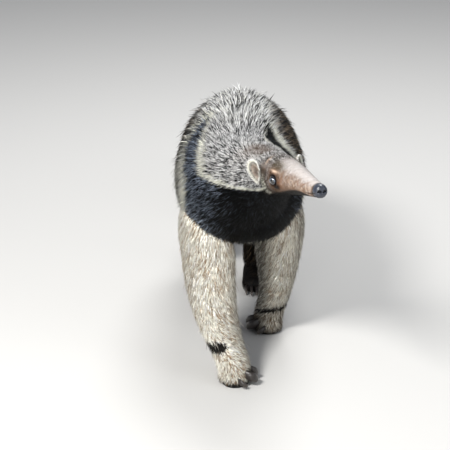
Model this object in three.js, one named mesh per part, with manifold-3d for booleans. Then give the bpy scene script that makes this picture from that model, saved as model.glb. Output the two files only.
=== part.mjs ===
// A giant anteater standing with its right forefoot forward and its head turned to its left.
// Millimetres, +Z up, head towards -Y, the animal's left at +X. The origin is on the floor,
// in the middle of the ground that the whole animal covers.
import * as THREE from "three";
import { mergeVertices } from "three/addons/utils/BufferGeometryUtils.js";
import Module from "manifold-3d";

const wasm = await Module();
wasm.setup();

// Driving sizes. Places are given with the shoulders at y = 0.
const seam = 0.4; // gap left between touching pieces
const earHeight = 588; // centre of the head between the ears, above the floor
const headLength = 285; // nose tip to the line between the ears
const headYaw = 19; // degrees, turned to the animal's left
const headRise = 8.5; // degrees, nose up
const eyeRadius = 11.5;

const degrees = Math.PI / 180;
const vec = (x, y, z) => new THREE.Vector3(x, y, z);
const upward = vec(0, 0, 1);
const forward = vec(0, -1, 0);

const headAxis = vec(
  Math.sin(headYaw * degrees) * Math.cos(headRise * degrees),
  -Math.cos(headYaw * degrees) * Math.cos(headRise * degrees),
  Math.sin(headRise * degrees)
);
const betweenEars = vec(85, -318, earHeight);
const origin = vec(7.49, 452.41, 0); // below the middle of the whole animal
const noseTip = betweenEars.clone().addScaledVector(headAxis, headLength);
const alongHead = (fromNose) => noseTip.clone().addScaledVector(headAxis, -fromNose);

// One station of a long form: its centre, half width, reach above and below the centre,
// and the roundness of its upper and lower halves (2 is an ellipse, less is more pointed).
function station(at, wide, above, below, roundAbove = 2, roundBelow = 2) {
  return { at, wide, above, below, roundAbove, roundBelow };
}
const sizeNames = ["wide", "above", "below", "roundAbove", "roundBelow"];

// Head, neck and trunk are one form from the nose tip to the rump.
const trunk = {
  reference: upward,
  stations: [
    station(noseTip, 14, 13, 14),
    station(alongHead(16), 15.5, 16, 16),
    station(alongHead(50), 20, 21, 20),
    station(alongHead(100), 27, 29, 25, 2, 2.1),
    station(alongHead(155), 35, 39, 33, 2, 2.2),
    station(alongHead(208), 42, 47, 41, 2, 2.2),
    station(alongHead(250), 45, 49, 48, 2, 2.1),
    station(betweenEars, 48, 48, 57),
    station(vec(66, -258, 570), 62, 55, 80),
    station(vec(42, -185, 547), 86, 69, 108, 2, 2.1),
    station(vec(14, -105, 515), 120, 94, 140, 2, 2.2),
    station(vec(2, -20, 480), 154, 130, 164, 1.9, 2.4),
    station(vec(0, 80, 460), 166, 158, 164, 1.8, 2.3),
    station(vec(0, 200, 450), 163, 168, 166, 1.75, 2.2),
    station(vec(0, 320, 444), 158, 160, 164, 1.75, 2.1),
    station(vec(0, 430, 438), 148, 140, 150, 1.8, 2.1),
    station(vec(0, 530, 430), 124, 110, 122, 1.9, 2),
    station(vec(0, 610, 422), 92, 80, 88),
    station(vec(0, 665, 415), 60, 60, 60),
    station(vec(0, 730, 380), 66, 66, 80),
    station(vec(0, 800, 345), 68, 70, 90),
  ],
};
const noseCut = 1; // stations where the long form is parted
const headCut = 7.6;
const neckCut = 9.4;
const rumpEnd = 18; // the trunk ends here, and its coat goes on over the root of the tail

const tail = {
  reference: upward,
  stations: [
    station(vec(0, 560, 420), 52, 60, 60),
    station(vec(0, 610, 414), 62, 66, 74),
    station(vec(0, 700, 384), 66, 74, 96),
    station(vec(0, 820, 326), 66, 84, 116),
    station(vec(0, 960, 262), 64, 88, 128),
    station(vec(0, 1110, 206), 60, 84, 120),
    station(vec(0, 1250, 168), 54, 72, 96),
    station(vec(0, 1370, 142), 42, 50, 64),
    station(vec(0, 1440, 124), 22, 26, 34),
    station(vec(0, 1500, 112), 8, 10, 14),
  ],
};
const tailCoreEnd = 7; // the tail's core ends here, and its hair goes on

// Limbs run from inside the trunk down to the sole. Above is towards the head, below towards the tail.
const rightForeleg = {
  reference: forward,
  stations: [
    station(vec(-80, 20, 470), 46, 60, 64),
    station(vec(-86, 10, 420), 58, 70, 76),
    station(vec(-93, -20, 350), 68, 76, 80),
    station(vec(-84, -60, 282), 68, 70, 78),
    station(vec(-77, -112, 205), 61, 58, 68),
    station(vec(-58, -168, 136), 50, 48, 56),
    station(vec(-36, -207, 88), 42, 40, 44),
    station(vec(-19, -232, 48), 42, 44, 42),
    station(vec(-14, -240, 14), 43, 46, 44),
    station(vec(-13, -240, -16), 36, 38, 38),
  ],
};
const leftForeleg = {
  reference: forward,
  stations: [
    station(vec(80, 20, 470), 46, 60, 64),
    station(vec(90, 22, 420), 58, 70, 76),
    station(vec(103, 26, 350), 64, 76, 80),
    station(vec(102, 36, 262), 60, 66, 74),
    station(vec(99, 56, 166), 46, 52, 60),
    station(vec(91, 78, 100), 39, 40, 44),
    station(vec(80, 92, 52), 38, 42, 42),
    station(vec(77, 92, 14), 40, 44, 42),
    station(vec(77, 92, -16), 34, 36, 36),
  ],
};
// A hind leg's foot is set stride further back and inwards nearer to the middle.
function hindLeg({ side, stride, inwards }) {
  const leg = (out, back, high, share, ...sizes) =>
    station(vec(side * (out - inwards * share), back + stride * share, high), ...sizes);
  return {
    reference: forward,
    stations: [
      leg(66, 470, 440, 0, 48, 70, 66),
      leg(76, 478, 390, 0.05, 60, 90, 86),
      leg(92, 488, 310, 0.25, 66, 96, 90),
      leg(92, 500, 225, 0.5, 56, 72, 68),
      leg(90, 528, 140, 0.8, 42, 46, 46),
      leg(88, 543, 66, 1, 34, 38, 36),
      leg(88, 543, 36, 1, 26, 30, 28),
    ],
  };
}
function hindFoot({ side, stride, inwards }) {
  const foot = (out, back, high, ...sizes) =>
    station(vec(side * (out - inwards), back + stride, high), ...sizes);
  return {
    reference: upward,
    stations: [
      foot(88, 574, 26, 30, 26, 34),
      foot(88, 556, 26, 34, 30, 36),
      foot(89, 500, 26, 37, 30, 36),
      foot(91, 452, 20, 42, 22, 30),
      foot(92, 424, 16, 38, 14, 26),
    ],
  };
}

// Catmull-Rom value between knots b and c.
function between(a, b, c, d, u) {
  const square = u * u;
  const bend = 2 * a - 5 * b + 4 * c - d;
  return 0.5 * (2 * b + (c - a) * u + bend * square + (3 * (b - c) + d - a) * square * u);
}

// Centre, axes and sizes of a form at a place along its stations.
function frameAt(form, place) {
  const last = form.stations.length - 1;
  const knot = (i) => form.stations[Math.min(Math.max(i, 0), last)];
  const valueAt = (p, read) => {
    const first = Math.min(Math.floor(p), last - 1);
    return between(...[-1, 0, 1, 2].map((step) => read(knot(first + step))), p - first);
  };
  const centreAt = (p) => vec(...["x", "y", "z"].map((axis) => valueAt(p, (k) => k.at[axis])));
  const low = Math.max(place - 0.02, 0);
  const high = Math.min(place + 0.02, last);
  const along = centreAt(high).sub(centreAt(low)).normalize();
  const across = along.clone().cross(form.reference).normalize();
  const over = across.clone().cross(along).normalize();
  const sizes = Object.fromEntries(sizeNames.map((name) => [name, valueAt(place, (k) => k[name])]));
  return { centre: centreAt(place), along, across, over, ...sizes };
}

const bare = (geometry) => geometry.deleteAttribute("normal").deleteAttribute("uv");

// A closed form made by pulling each point of a sphere's rows to pointAt(row, angle).
function pulledSphere(columns, rows, pointAt) {
  const geometry = new THREE.SphereGeometry(1, columns, rows);
  bare(geometry);
  const position = geometry.getAttribute("position");
  for (let row = 0; row <= rows; row++)
    for (let column = 0; column <= columns; column++) {
      const p = pointAt(row, (360 * (column % columns)) / columns);
      position.setXYZ(row * (columns + 1) + column, p.x, p.y, p.z);
    }
  return solidOf(geometry);
}

function solidOf(geometry) {
  const merged = mergeVertices(geometry, 1e-3);
  const triVerts = new Uint32Array(merged.index.array);
  const solid = (order) =>
    new wasm.Manifold(
      new wasm.Mesh({
        numProp: 3,
        vertProperties: merged.attributes.position.array,
        triVerts: order,
      })
    );
  const made = solid(triVerts);
  if (made.volume() > 0) return made;
  for (let i = 0; i < triVerts.length; i += 3)
    [triVerts[i + 1], triVerts[i + 2]] = [triVerts[i + 2], triVerts[i + 1]];
  return solid(triVerts);
}

// A stretch of a form as a solid. A whole end is domed, a parted one is flat and half a seam short.
function stretch(form, from, to, columns, perStation, grow = 0) {
  const last = form.stations.length - 1;
  const domeRows = 3;
  const rings = [];
  const start = from === 0 ? 1 : from;
  const end = to === last ? last - 1 : to;
  if (from === 0)
    for (let k = 0; k < domeRows; k++) {
      const turn = (k / domeRows) * 90 * degrees;
      rings.push({ place: 1 - Math.cos(turn), dome: Math.sin(turn), full: 1 });
    }
  else rings.push({ place: from, dome: 0, shift: seam / 2 });
  const steps = Math.max(1, Math.round((end - start) * perStation));
  for (let k = 0; k <= steps; k++) {
    const place = start + ((end - start) * k) / steps;
    const shift = k === 0 && from !== 0 ? seam / 2 : k === steps && to !== last ? -seam / 2 : 0;
    rings.push({ place, dome: 1, shift });
  }
  if (to === last)
    for (let k = domeRows - 1; k >= 0; k--) {
      const turn = (k / domeRows) * 90 * degrees;
      rings.push({ place: last - 1 + Math.cos(turn), dome: Math.sin(turn), full: last - 1 });
    }
  else rings.push({ place: to, dome: 0, shift: -seam / 2 });
  return pulledSphere(columns, rings.length - 1, (row, angle) => {
    const { place, dome, shift = 0, full } = rings[row];
    const f = frameAt(form, place);
    const sized = full === undefined ? f : { ...frameAt(form, full), ...axesOf(f) };
    const p = ringPoint(sized, angle, grow, dome);
    const away = full === undefined ? shift : grow * (full === 1 ? -1 : 1) * (1 - dome);
    return p.addScaledVector(f.along, away);
  });
}

const axesOf = ({ centre, along, across, over }) => ({ centre, along, across, over });

// A point on a form's ring: angle 0 is its top, 90 its right seen along the stations, 180 below.
function ringPoint(f, angle, grow, dome) {
  const sine = Math.sin(angle * degrees);
  const cosine = Math.cos(angle * degrees);
  const power = 2 / (cosine > 0 ? f.roundAbove : f.roundBelow);
  const reach = (cosine > 0 ? f.above : f.below) + grow;
  const sideways = Math.sign(sine) * Math.abs(sine) ** power * (f.wide + grow) * dome;
  const vertical = Math.sign(cosine) * Math.abs(cosine) ** power * reach * dome;
  return f.centre
    .clone()
    .addScaledVector(f.across, sideways)
    .addScaledVector(f.over, vertical);
}

const join = (...solids) => wasm.Manifold.union(solids.flat());
const largest = (solid) =>
  solid.decompose().reduce((best, piece) => (piece.volume() > best.volume() ? piece : best));

// Hair in locks. The coat's core is the same form made thinner by a share of its sizes, and each
// lock is a flat tapered blade that starts inside the core and rises to the coat's outline.
function coreOf(form, thinner, fade = () => 1) {
  const shrink = (knot, index) => {
    const much = fade(index);
    return {
      ...knot,
      wide: knot.wide * (1 - thinner.side * much),
      above: knot.above * (1 - thinner.above * much),
      below: knot.below * (1 - thinner.below * much),
    };
  };
  return { ...form, stations: form.stations.map(shrink) };
}

function seeded(seed) {
  let state = seed;
  return () => {
    state = (state * 1664525 + 1013904223) % 4294967296;
    return state / 4294967296;
  };
}

// A blade from its root to its tip: u, width and thickness as shares of the lock's own.
const bladeRows = [
  { u: 0, wide: 0, thick: 0 },
  { u: 0.3, wide: 0.95, thick: 1 },
  { u: 0.66, wide: 0.85, thick: 0.8 },
  { u: 1, wide: 0, thick: 0 },
];
const rootSunk = 11;
const tipGrow = 8; // a grown lock is this many times longer than it is thicker

// One lock: turn is its direction in degrees from straight along the form, towards below, bend is
// how much further it has turned at the tip, and stand is how far the tip passes the outline.
function lock(form, core, place, angle, { long, wide, thick, turn, bend, stand }, grow = 0) {
  const side = Math.sign(angle) || 1;
  const last = form.stations.length - 1;
  let at = { place, angle };
  const rings = bladeRows.map((blade, index) => {
    const f = frameAt(form, at.place);
    const here = ringPoint(f, at.angle, 0, 1);
    const perPlace = ringPoint(frameAt(form, at.place + 0.05), at.angle, 0, 1).distanceTo(here) / 0.05;
    const perDegree = ringPoint(f, at.angle + 2, 0, 1).distanceTo(here) / 2;
    const way = side * (turn + bend * blade.u) * degrees;
    const half = (blade.wide * wide) / 2 + grow;
    const depth = here.distanceTo(ringPoint(frameAt(core, at.place), at.angle, 0, 1));
    const height = -rootSunk + (rootSunk + depth + stand) * blade.u;
    const point = (sideways, up) => {
      const p = Math.min(at.place - (Math.sin(way) * sideways) / perPlace, last);
      const a = at.angle + (Math.cos(way) * sideways) / perDegree;
      const skin = ringPoint(frameAt(core, p), a, 0, 1);
      const out = skin.clone().sub(frameAt(form, p).centre).normalize();
      return skin.addScaledVector(out, height + up);
    };
    const pointed = blade.wide === 0;
    const ring = pointed
      ? [point(0, 0), point(0, 0), point(0, 0)]
      : [point(0, blade.thick * thick + grow), point(half, -grow), point(-half, -grow)];
    const next = bladeRows[index + 1];
    if (next) {
      const step = long * (next.u - blade.u) + (next.wide ? 0 : tipGrow * grow);
      at = {
        place: Math.min(at.place + (Math.cos(way) * step) / perPlace, last),
        angle: at.angle + (Math.sin(way) * step) / perDegree,
      };
    }
    return ring;
  });
  return pulledSphere(3, rings.length - 1, (row, turned) => rings[row][Math.round(turned / 120)]);
}

// Everything below the floor, to cut soles flat.
const groundDepth = 200;
const groundSize = 4000;
const belowFloor = solidOf(
  bare(new THREE.BoxGeometry(groundSize, groundSize, groundDepth)).translate(0, 0, -groundDepth / 2)
);

const torsoCore = coreOf(trunk, { above: 0.12, side: 0.09, below: 0.05 }, (index) =>
  Math.min(Math.max((index - 9) / 1.6, 0), 1)
);
const tailCore = coreOf(tail, { above: 0.45, side: 0.42, below: 0.48 });
const foreCore = (form) => coreOf(form, { above: 0, side: 0.02, below: 0.18 });
const hindCore = (form) => coreOf(form, { above: 0.03, side: 0.08, below: 0.2 });

const upTo = (form, last) => ({ ...form, stations: form.stations.slice(0, last + 1) });
const torso = (grow) => stretch(upTo(torsoCore, rumpEnd), neckCut, rumpEnd, 20, 1.4, grow);
const neck = () => stretch(trunk, headCut, neckCut, 24, 2);
const headForm = (grow) => stretch(trunk, noseCut, headCut, 24, 2, grow);
const limb = (form, grow = 0) => stretch(form, 0, form.stations.length - 1, 14, 1.6, grow);

// A point on the head's coat, with the outward direction there.
function onHead(place, angle) {
  const f = frameAt(trunk, place);
  const at = ringPoint(f, angle, 0, 1);
  const nextRound = ringPoint(f, angle + 4, 0, 1);
  const nextAlong = ringPoint(frameAt(trunk, place + 0.1), angle, 0, 1);
  const outward = nextAlong.sub(at).cross(nextRound.sub(at)).normalize();
  if (outward.dot(at.clone().sub(f.centre)) < 0) outward.negate();
  return { at, outward, ...axesOf(f) };
}

// Eyes: a ball let into the head, with an almond ring of lid round it.
const eyePlace = 5;
const eyeAngle = 92;
const eyeStandsOut = 4.5;
const lidLong = 1.28;
const lidTall = 0.96;
const gazeAhead = 0.5; // how far the eye's opening is turned towards the nose
const lidThick = 2.8;
function eyeCentre(side) {
  const { at, outward } = onHead(eyePlace, side * eyeAngle);
  return at.addScaledVector(outward, eyeStandsOut - eyeRadius);
}
function eyeball(side, grow = 0) {
  const ball = bare(new THREE.SphereGeometry(eyeRadius + grow, 12, 8));
  return solidOf(ball.translate(...eyeCentre(side).toArray()));
}
function lid(side) {
  const { outward, along } = onHead(eyePlace, side * eyeAngle);
  const gaze = outward.addScaledVector(along, -gazeAhead).normalize();
  const ring = bare(new THREE.TorusGeometry(eyeRadius - 1, lidThick, 4, 12));
  const long = along.clone().addScaledVector(gaze, -along.dot(gaze)).normalize();
  const at = eyeCentre(side).addScaledVector(gaze, eyeRadius - eyeStandsOut);
  const turn = new THREE.Matrix4().makeBasis(long, gaze.clone().cross(long), gaze).setPosition(at);
  return solidOf(ring.scale(lidLong, lidTall, 1).applyMatrix4(turn));
}

// Mouth: a short slit right through the snout's tip, below its middle, with a lip round each side.
const mouthLength = 40;
const mouthDrop = 8;
const mouthOpen = 2;
const lipEnd = 2.05; // station where the lips end
const lipTall = 7; // both lips together
const lipOut = 1.6;
function mouth() {
  const f = frameAt(trunk, noseCut);
  const turn = new THREE.Matrix4().makeBasis(f.along, f.across, f.over);
  const middle = f.centre
    .clone()
    .addScaledVector(f.along, mouthLength / 2 - 2)
    .addScaledVector(f.over, -mouthDrop);
  const slab = (tall) =>
    solidOf(bare(new THREE.BoxGeometry(mouthLength, 80, tall)).applyMatrix4(turn.setPosition(middle)));
  const lips = slab(lipTall).intersect(stretch(trunk, noseCut, lipEnd, 12, 1, lipOut));
  return { lips, slit: slab(mouthOpen) };
}

// Nostrils: two bean-shaped pits in the front of the nose pad.
const nostrilApart = 7;
const nostrilLong = 5.5;
const nostrilWide = 3;
const nostrilBack = 3; // behind the tip
const nostrilUp = 2; // above its middle
function nostril(side) {
  const f = frameAt(trunk, 0);
  const pit = bare(new THREE.SphereGeometry(1, 8, 6)).scale(nostrilLong, nostrilWide, nostrilLong);
  const turn = new THREE.Matrix4().makeBasis(f.along, f.across, f.over);
  const at = f.centre
    .clone()
    .addScaledVector(f.along, nostrilBack)
    .addScaledVector(f.across, side * nostrilApart)
    .addScaledVector(f.over, nostrilUp);
  return solidOf(pit.applyMatrix4(turn.setPosition(at)));
}

// Ears: a thin upright cup, egg-shaped, open forward and outward.
const earPlace = 7;
const earAngle = 86;
const earTall = 32; // half its height
const earWide = 14; // half its width at the middle
const earDeep = 9;
const earThick = 4;
const earEgg = 0.36; // how much wider its upper end is
const earStands = 9; // its middle stands this far off the head
function ear(side) {
  const { at, outward, along, over } = onHead(earPlace, side * earAngle);
  const tall = over.clone().addScaledVector(along, 0.35).addScaledVector(outward, 0.18).normalize();
  const facing = outward.clone().addScaledVector(along, -0.75);
  facing.addScaledVector(tall, -facing.dot(tall)).normalize();
  const wide = tall.clone().cross(facing);
  const middle = at.clone().addScaledVector(outward, earStands);
  const rows = 8;
  return pulledSphere(14, rows, (row, angle) => {
    const turn = (row / rows) * 180 * degrees;
    const out = Math.sin(turn);
    const up = Math.cos(angle * degrees) * out;
    const sideways = Math.sin(angle * degrees) * out * (1 + earEgg * up);
    const inner = turn < Math.PI / 2;
    const depth = -earDeep * (1 - out * out) - (inner ? 0 : earThick * -Math.cos(turn));
    return middle
      .clone()
      .addScaledVector(tall, up * earTall)
      .addScaledVector(wide, sideways * earWide)
      .addScaledVector(facing, depth);
  });
}

// A claw: a round horn carried along a bent line of points, thick at its root.
function claw(points, thick) {
  const line = new THREE.CatmullRomCurve3(points);
  const rows = 5;
  return pulledSphere(6, rows, (row, angle) => {
    const u = row / rows;
    const at = line.getPoint(u);
    const along = line.getTangent(u);
    const across = along.clone().cross(upward).normalize();
    const over = across.clone().cross(along);
    const size = row === 0 || row === rows ? 0 : thick * Math.sqrt(1 - u * u) * 1.02;
    return at
      .addScaledVector(across, size * 0.78 * Math.sin(angle * degrees))
      .addScaledVector(over, size * Math.cos(angle * degrees));
  });
}

// Claws of a forefoot curl inwards and back under its inner edge. Offsets are from the foot's
// middle: inwards, towards the tail and up.
const foreClaws = [
  { thick: 11, line: [[20, -22, 34], [44, -30, 27], [53, -10, 14], [40, 16, 8]] },
  { thick: 10, line: [[24, 8, 34], [45, 6, 29], [54, 22, 16], [42, 44, 8]] },
  { thick: 6.5, line: [[4, -30, 22], [16, -48, 19], [27, -49, 12], [31, -38, 7]] },
];
function foreClaw(foot, inwards, { thick, line }) {
  const place = ([inner, back, high]) => vec(foot.x + inwards * inner, foot.y + back, high);
  return claw(line.map(place), thick);
}
const rightForefoot = vec(-14, -240, 0);
const leftForefoot = vec(77, 92, 0);

// Claws of a hind foot: five in a row along the front of the sole.
const hindClawCount = 5;
const hindClawApart = 15;
function hindClaw({ side, stride, inwards }, index) {
  const middle = (hindClawCount - 1) / 2;
  const x = side * (92 - inwards) + (index - middle) * hindClawApart;
  const y = 428 + stride + Math.abs(index - middle) ** 2 * 3;
  return claw([vec(x, y, 15), vec(x, y - 18, 16), vec(x, y - 32, 10), vec(x, y - 38, 4)], 6);
}

// Locks set over a form in rows, each row half a step round from the one before it. sizes gives
// a lock's shape from its place and angle, and loose is how far each value may stray.
const loose = { row: 0.3, column: 0.12, size: 0.16, turn: 9, stand: 0.5 };
function coat(form, core, { from, to, rows, columns, about = 0, reach, sizes, seed }) {
  const random = seeded(seed);
  const stray = (much) => much * (2 * random() - 1);
  const locks = [];
  for (let row = 0; row < rows; row++)
    for (let column = 0; column < columns; column++) {
      const shift = (row % 2 ? 0.75 : 0.25) + stray(loose.column);
      const turned = (2 * (column + shift)) / columns - 1;
      const angle = ((about + turned * reach + 540) % 360) - 180;
      const place = from + ((to - from) * (row + stray(loose.row))) / (rows - 1);
      const { long, wide, thick, turn, bend, stand } = sizes(place, angle);
      const shape = {
        long: long * (1 + stray(loose.size)),
        wide: wide * (1 + stray(loose.size)),
        thick,
        turn: turn + stray(loose.turn),
        bend,
        stand: stand * (1 + stray(loose.stand)),
      };
      locks.push([form, core, place, angle, shape]);
    }
  return locks;
}
const made = (locks, grow = 0) => locks.map((each) => lock(...each, grow));

// The locks that keep clear of a neighbour's hair and mostly of its body, cut clear of the body.
const mostTouch = 0.3;
function clearOf(body, hair, locks) {
  const apart = (each) => lock(...each, seam).intersect(hair).isEmpty();
  const keeps = (each) => each.intersect(body).volume() < mostTouch * each.volume();
  return join(...made(locks.filter(apart)).filter(keeps)).subtract(body);
}

// How a lock lies round the body: 0 on the crest of the back, 1 on the flank and below it.
const flank = (angle) => Math.min(Math.abs(angle) / 85, 1);
const torsoCoat = coat(trunk, torsoCore, {
  from: 9.75,
  to: 17,
  rows: 10,
  columns: 13,
  reach: 145,
  seed: 7,
  sizes: (place, angle) => ({
    long: Math.min(105 + 45 * (place - 9.75), 185) - 20 * flank(angle),
    wide: 58,
    thick: 6,
    turn: 8 + 38 * flank(angle),
    bend: 25 * flank(angle),
    stand: 5 + 20 * Math.max(1 - flank(angle) * 1.8, 0),
  }),
});
const tailCoat = coat(tail, tailCore, {
  from: 0.9,
  to: 6.9,
  rows: 7,
  columns: 9,
  reach: 180,
  seed: 11,
  sizes: (place, angle) => ({
    long: place > 6 ? 130 : 210,
    wide: 60,
    thick: 7,
    turn: 30 * Math.sin(Math.abs(angle) * degrees),
    bend: 25 * Math.sin(Math.abs(angle) * degrees),
    stand: 3,
  }),
});
const legCoat = (form, core, { from, to, rows, columns, reach, long, seed }) =>
  coat(form, core, {
    from,
    to,
    rows,
    columns,
    about: 180,
    reach,
    seed,
    sizes: () => ({ long, wide: long * 0.42, thick: 5, turn: 12, bend: 10, stand: 3 }),
  });

const foreCoat = { from: 2.1, to: 5.7, rows: 4, columns: 3, reach: 85, long: 100, seed: 3 };
const hindCoat = { from: 1.6, to: 4, rows: 3, columns: 6, reach: 145, long: 115, seed: 5 };

const model = new THREE.Group();
const trunkRoom = torso(seam);

function geometryOf(solid) {
  const mesh = solid.getMesh();
  const geometry = new THREE.BufferGeometry();
  geometry.setAttribute("position", new THREE.BufferAttribute(mesh.vertProperties, 3));
  geometry.setIndex(new THREE.BufferAttribute(mesh.triVerts, 1));
  return geometry;
}

// Joining near points can part a scrap from its solid, so that is done again until none is left.
function settled(solid) {
  const next = largest(solidOf(geometryOf(solid)));
  return next.numTri() === solid.numTri() ? next : settled(next);
}

function add(name, solid, colour, roughness) {
  const geometry = geometryOf(settled(largest(solid).translate(-origin.x, -origin.y, 0)));
  const material = new THREE.MeshStandardMaterial({ color: colour, roughness, metalness: 0 });
  const node = new THREE.Mesh(geometry, material);
  node.name = name;
  model.add(node);
}

const sides = { right: -1, left: 1 };
const headRoom = headForm(seam).add(neck());
const hindPoses = {
  right: { side: -1, stride: 40, inwards: 0 },
  left: { side: 1, stride: -70, inwards: 40 },
};
const forelegs = { right: rightForeleg, left: leftForeleg };
const forefeet = { right: rightForefoot, left: leftForefoot };
const ankle = 72; // height at which a hind foot is parted from its leg
const legRooms = [];
const hairs = [];

for (const [word, side] of Object.entries(sides)) {
  const form = forelegs[word];
  const core = foreCore(form);
  const hair = join(...made(legCoat(form, core, foreCoat)));
  const room = limb(core, seam);
  legRooms.push(room);
  hairs.push(hair);
  const leg = limb(core).add(hair).subtract(trunkRoom).subtract(belowFloor);
  add(`foreleg_${word}`, leg, 0xe2d8c2, 0.8);
  foreClaws.forEach((shape, index) => {
    const horn = foreClaw(forefeet[word], -side, shape).subtract(room);
    add(`claw_fore_${word}_${index + 1}`, horn, 0x2a2622, 0.4);
  });
}
for (const [word, pose] of Object.entries(hindPoses)) {
  const form = hindLeg(pose);
  const core = hindCore(form);
  const hair = join(...made(legCoat(form, core, hindCoat)));
  const body = (grow) => limb(core, grow).add(limb(hindFoot(pose), grow));
  const room = body(seam);
  legRooms.push(room);
  hairs.push(hair);
  const leg = body(0).add(hair).subtract(trunkRoom).subtract(belowFloor);
  add(`hindleg_${word}`, leg.trimByPlane([0, 0, 1], ankle + seam / 2), 0x3a342f, 0.8);
  add(`hindfoot_${word}`, leg.trimByPlane([0, 0, -1], seam / 2 - ankle), 0x2b2622, 0.8);
  for (let index = 0; index < hindClawCount; index++) {
    const horn = hindClaw(pose, index).subtract(room);
    add(`claw_hind_${word}_${index + 1}`, horn, 0x2a2622, 0.4);
  }
}
const legRoom = join(...legRooms);
const tailBase = (grow) => stretch(upTo(tailCore, tailCoreEnd), 0, tailCoreEnd, 12, 1.2, grow);
const tailHair = clearOf(legRoom.add(trunkRoom), join(...hairs), tailCoat);
add("tail", tailBase(0).subtract(trunkRoom).add(tailHair), 0x5b5148, 0.8);
const neckRoom = stretch(trunk, headCut, neckCut + 0.005, 24, 2, seam);
const others = join(legRoom, tailBase(seam), neckRoom);
const torsoHair = clearOf(others, join(tailHair, ...hairs), torsoCoat);
add("torso", torso(0).add(torsoHair), 0x6f6a61, 0.8);
add("neck", neck(), 0x8d8a84, 0.8);
let head = headForm(0);
for (const side of Object.values(sides)) head = head.add(lid(side)).subtract(eyeball(side, seam));
const { lips, slit } = mouth();
add("head", head.add(lips).subtract(slit), 0xb69a86, 0.7);
let nose = stretch(trunk, 0, noseCut, 20, 1);
for (const side of Object.values(sides)) nose = nose.subtract(nostril(side));
add("nose", nose, 0x20222a, 0.35);
for (const [word, side] of Object.entries(sides)) {
  add(`eye_${word}`, eyeball(side), 0x1a1410, 0.1);
  add(`ear_${word}`, ear(side).subtract(headRoom), 0xb9a595, 0.7);
}

export default model;
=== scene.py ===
import bpy
import numpy as np
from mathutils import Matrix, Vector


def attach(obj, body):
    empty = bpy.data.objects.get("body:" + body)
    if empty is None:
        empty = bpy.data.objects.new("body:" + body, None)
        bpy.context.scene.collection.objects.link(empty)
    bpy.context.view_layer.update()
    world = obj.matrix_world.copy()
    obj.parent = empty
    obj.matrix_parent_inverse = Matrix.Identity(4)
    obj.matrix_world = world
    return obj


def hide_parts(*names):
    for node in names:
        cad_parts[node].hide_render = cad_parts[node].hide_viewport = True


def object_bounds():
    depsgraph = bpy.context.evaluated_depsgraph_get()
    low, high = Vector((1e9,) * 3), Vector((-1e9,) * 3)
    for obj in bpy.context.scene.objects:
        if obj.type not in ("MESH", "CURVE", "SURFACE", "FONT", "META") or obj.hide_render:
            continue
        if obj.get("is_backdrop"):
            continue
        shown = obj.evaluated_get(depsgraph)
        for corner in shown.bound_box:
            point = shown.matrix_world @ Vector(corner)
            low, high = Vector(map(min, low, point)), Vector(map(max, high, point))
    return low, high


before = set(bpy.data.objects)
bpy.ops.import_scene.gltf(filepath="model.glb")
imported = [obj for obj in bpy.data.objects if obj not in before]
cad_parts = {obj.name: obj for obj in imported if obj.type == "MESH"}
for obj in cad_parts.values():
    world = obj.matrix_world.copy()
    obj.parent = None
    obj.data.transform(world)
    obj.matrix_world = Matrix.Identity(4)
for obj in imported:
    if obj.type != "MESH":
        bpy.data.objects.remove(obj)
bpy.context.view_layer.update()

print("packed model loaded:", len(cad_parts), "nodes")

mm = 0.001
groundMiddle = np.array([7.49, 452.41, 0.0])  # from the point below the shoulders, as the stations are given


# A vector divided by its length.
def unit(v):
    return v / np.maximum(np.linalg.norm(v, axis=-1, keepdims=True), 1e-12)


# A step from 0 at low to 1 at high without corners: three t squared less two t cubed.
def smooth(low, high, x):
    t = np.clip((x - low) / (high - low), 0, 1)
    return t * t * (3 - 2 * t)


# Long forms. A row is a station in millimetres: centre x, y, z, half width, reach above and below,
# and roundness above and below (2 is an ellipse, less is more pointed).
headPose = {"yaw": 19, "rise": 8.5, "length": 285, "betweenEars": (85, -318, 588)}
headYaw, headRise = np.radians(headPose["yaw"]), np.radians(headPose["rise"])
headAxis = np.array([
    np.sin(headYaw) * np.cos(headRise), -np.cos(headYaw) * np.cos(headRise), np.sin(headRise),
])
noseTip = np.array(headPose["betweenEars"]) + headPose["length"] * headAxis


# A ring of the head lies on the straight line back from the nose: its tip less the distance times
# the head's axis.
def headRow(fromNose, wide, above, below, roundBelow=2):
    return [*(noseTip - fromNose * headAxis), wide, above, below, 2, roundBelow]


# A form from its stations, moved to the middle of the ground and into metres; a short row is round.
def formOf(rows, reference):
    knots = np.array([list(row) + [2, 2][len(row) - 6:] for row in rows], float)
    knots[:, :3] -= groundMiddle
    knots[:, :6] *= mm
    return {"knots": knots, "reference": np.array(reference, float), "last": len(rows) - 1}


trunk = formOf([
    headRow(0, 14, 13, 14), headRow(16, 15.5, 16, 16), headRow(50, 20, 21, 20), headRow(100, 27, 29, 25, 2.1),
    headRow(155, 35, 39, 33, 2.2), headRow(208, 42, 47, 41, 2.2), headRow(250, 45, 49, 48, 2.1),
    headRow(285, 48, 48, 57), [66, -258, 570, 62, 55, 80], [42, -185, 547, 86, 69, 108, 2, 2.1],
    [14, -105, 515, 120, 94, 140, 2, 2.2], [2, -20, 480, 154, 130, 164, 1.9, 2.4],
    [0, 80, 460, 166, 158, 164, 1.8, 2.3], [0, 200, 450, 163, 168, 166, 1.75, 2.2],
    [0, 320, 444, 158, 160, 164, 1.75, 2.1], [0, 430, 438, 148, 140, 150, 1.8, 2.1],
    [0, 530, 430, 124, 110, 122, 1.9, 2], [0, 610, 422, 92, 80, 88], [0, 665, 415, 60, 60, 60],
    [0, 730, 380, 66, 66, 80], [0, 800, 345, 68, 70, 90],
], (0, 0, 1))
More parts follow.
